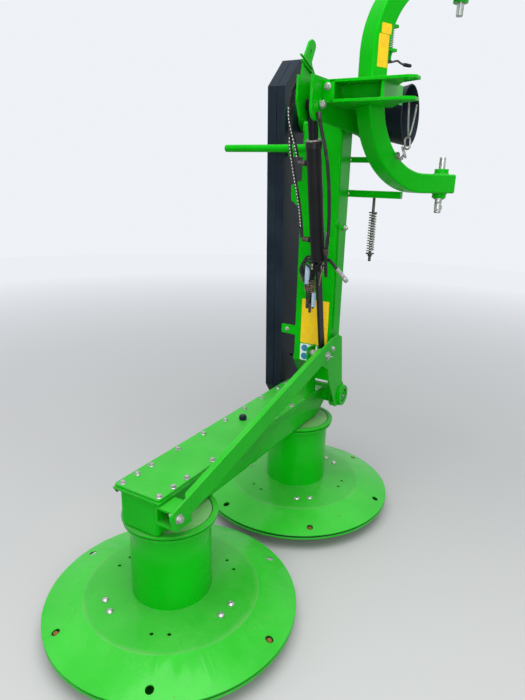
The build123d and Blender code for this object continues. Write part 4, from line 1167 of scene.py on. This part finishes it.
# ---------------------------------------------------------------- bundle of spare cables

CABLE_R = 4.2
BUNDLE_FOOT, BUNDLE_UP = mm(118, 93.6, 968), Vector((0.14, 0, 1)).normalized()
BUNDLE_SIDE = Vector((0, 1, 0))
BUNDLE_OUT = BUNDLE_SIDE.cross(BUNDLE_UP)
BAND_SIDE = Vector((-0.50, 0.86, 0))
BAND_TURN = Matrix.Rotation(-pi / 2, 4, "X")
TIE_LOW, TIE_HIGH = 62, 100             # where the cables enter and leave the binding
CABLE_END = [(0, -3), (4.4, -3), (5.6, -1), (5.6, 16), (4.6, 18), (0, 18)]


def in_bundle(side, out, up):
    """A point by the bundle's own directions, from its foot, in millimetres."""
    offset = BUNDLE_SIDE * side + BUNDLE_OUT * out + BUNDLE_UP * up
    return tuple(1000 * c for c in BUNDLE_FOOT + offset / 1000)


def bundled_cable(name, lows, neck, crown, width, mid, out, node=None):
    """A spare cable led up through the binding, round its loop and down again."""
    middle = crown - width
    steps = [(neck[0], out, up) for up in (lows[0], TIE_LOW, TIE_HIGH)]
    steps += [
        (mid - width * cos(radians(a)), out, middle + width * sin(radians(a)))
        for a in range(-20, 201, 22)
    ]
    steps += [(neck[1], out, up) for up in (TIE_HIGH, TIE_LOW, lows[1])]
    points = [in_bundle(*step) for step in steps]
    cable = bent_rod(name, points, CABLE_R, "cylinder", HOSE, segments=8)
    if node:
        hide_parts(node)
    ends = piece(name + "_ends", "cylinder", DARK_STEEL, [
        (turned(CABLE_END, 24), aimed(mm(*end), (mm(*end) - mm(*before)).normalized()))
        for end, before in ((points[0], points[1]), (points[-1], points[-2]))
    ])
    mm(*points[0])
    line_length(cable)


# columns: name, heights of its ends, sides in the binding, crown, loop radius, loop's side, out,
# replaced node
for cable in (
    ("bundle_cable_rear", (20, 24), (-6, 8), 226, 26, -1, -5, "hose_bundle"),
    ("bundle_cable_front", (26, 14), (-12, 1), 207, 25, -10, 8),
    ("bundle_cable_middle", (6, 34), (-3, 9), 215, 25, -7, 2),
    ("bundle_cable_left", (30, 34), (-12, 0), 214, 26, -2, -13),
    ("bundle_cable_right", (40, 30), (-8, 3), 196, 25, -12, 15),
):
    bundled_cable(*cable)


def binding():
    """Turns of twine round the bundle, each a little askew."""
    for i, height in enumerate((84, 91, 98, 106, 113, 121, 130)):
        tie = ring(18.5 + 0.9 * (i % 3), 1.9, 36)
        bmesh.ops.scale(tie, verts=tie.verts, vec=(1.2, 0.9, 1))
        yield tie, faced(
            Vector(in_bundle(0, 0, height)) / 1000,
            BUNDLE_SIDE + UP * (0.06 * (i % 3 - 1)),
            BUNDLE_OUT + UP * (0.08 * ((i * 5) % 4 - 1.5)),
        )


piece("bundle_twine", "cylinder", TWINE, binding())
TWINE_LOOP = ((-16, 8, 118), (-34, 8, 122), (-46, 8, 136), (-40, 8, 150), (-20, 9, 146))
TWINE_HANGER = [(171, 164, 1156), (172, 158, 1125), (170, 152, 1096), (166, 150, 1082)]
bent_rod("bundle_twine_loop", [in_bundle(*p) for p in TWINE_LOOP], 2.2, "cylinder", TWINE)
bent_rod("bundle_twine_hanger", TWINE_HANGER, 2.4, "cylinder", TWINE)
piece("bundle_blue_band", "cylinder", BLUE_BAND, [
    (
        block(width, 1.4, length, 0.5),
        faced(Vector(in_bundle(*at)) / 1000, BAND_SIDE, lean) @ BAND_TURN,
    )
    for width, length, at, lean in (
        (19, 78, (-4, 21, 116), (0.10, -0.26, 1)),
        (17, 60, (22, 18, 20), (0.12, -0.34, 1)),
    )
])
piece("bundle_white_cap", "cylinder", WHITE_FOIL, [(
    turned([(0, 0), (9, 0), (10, 3), (10, 9), (8, 12), (0, 12)], 28),
    aimed(Vector(in_bundle(22, 6, 186)) / 1000, BUNDLE_OUT),
)])
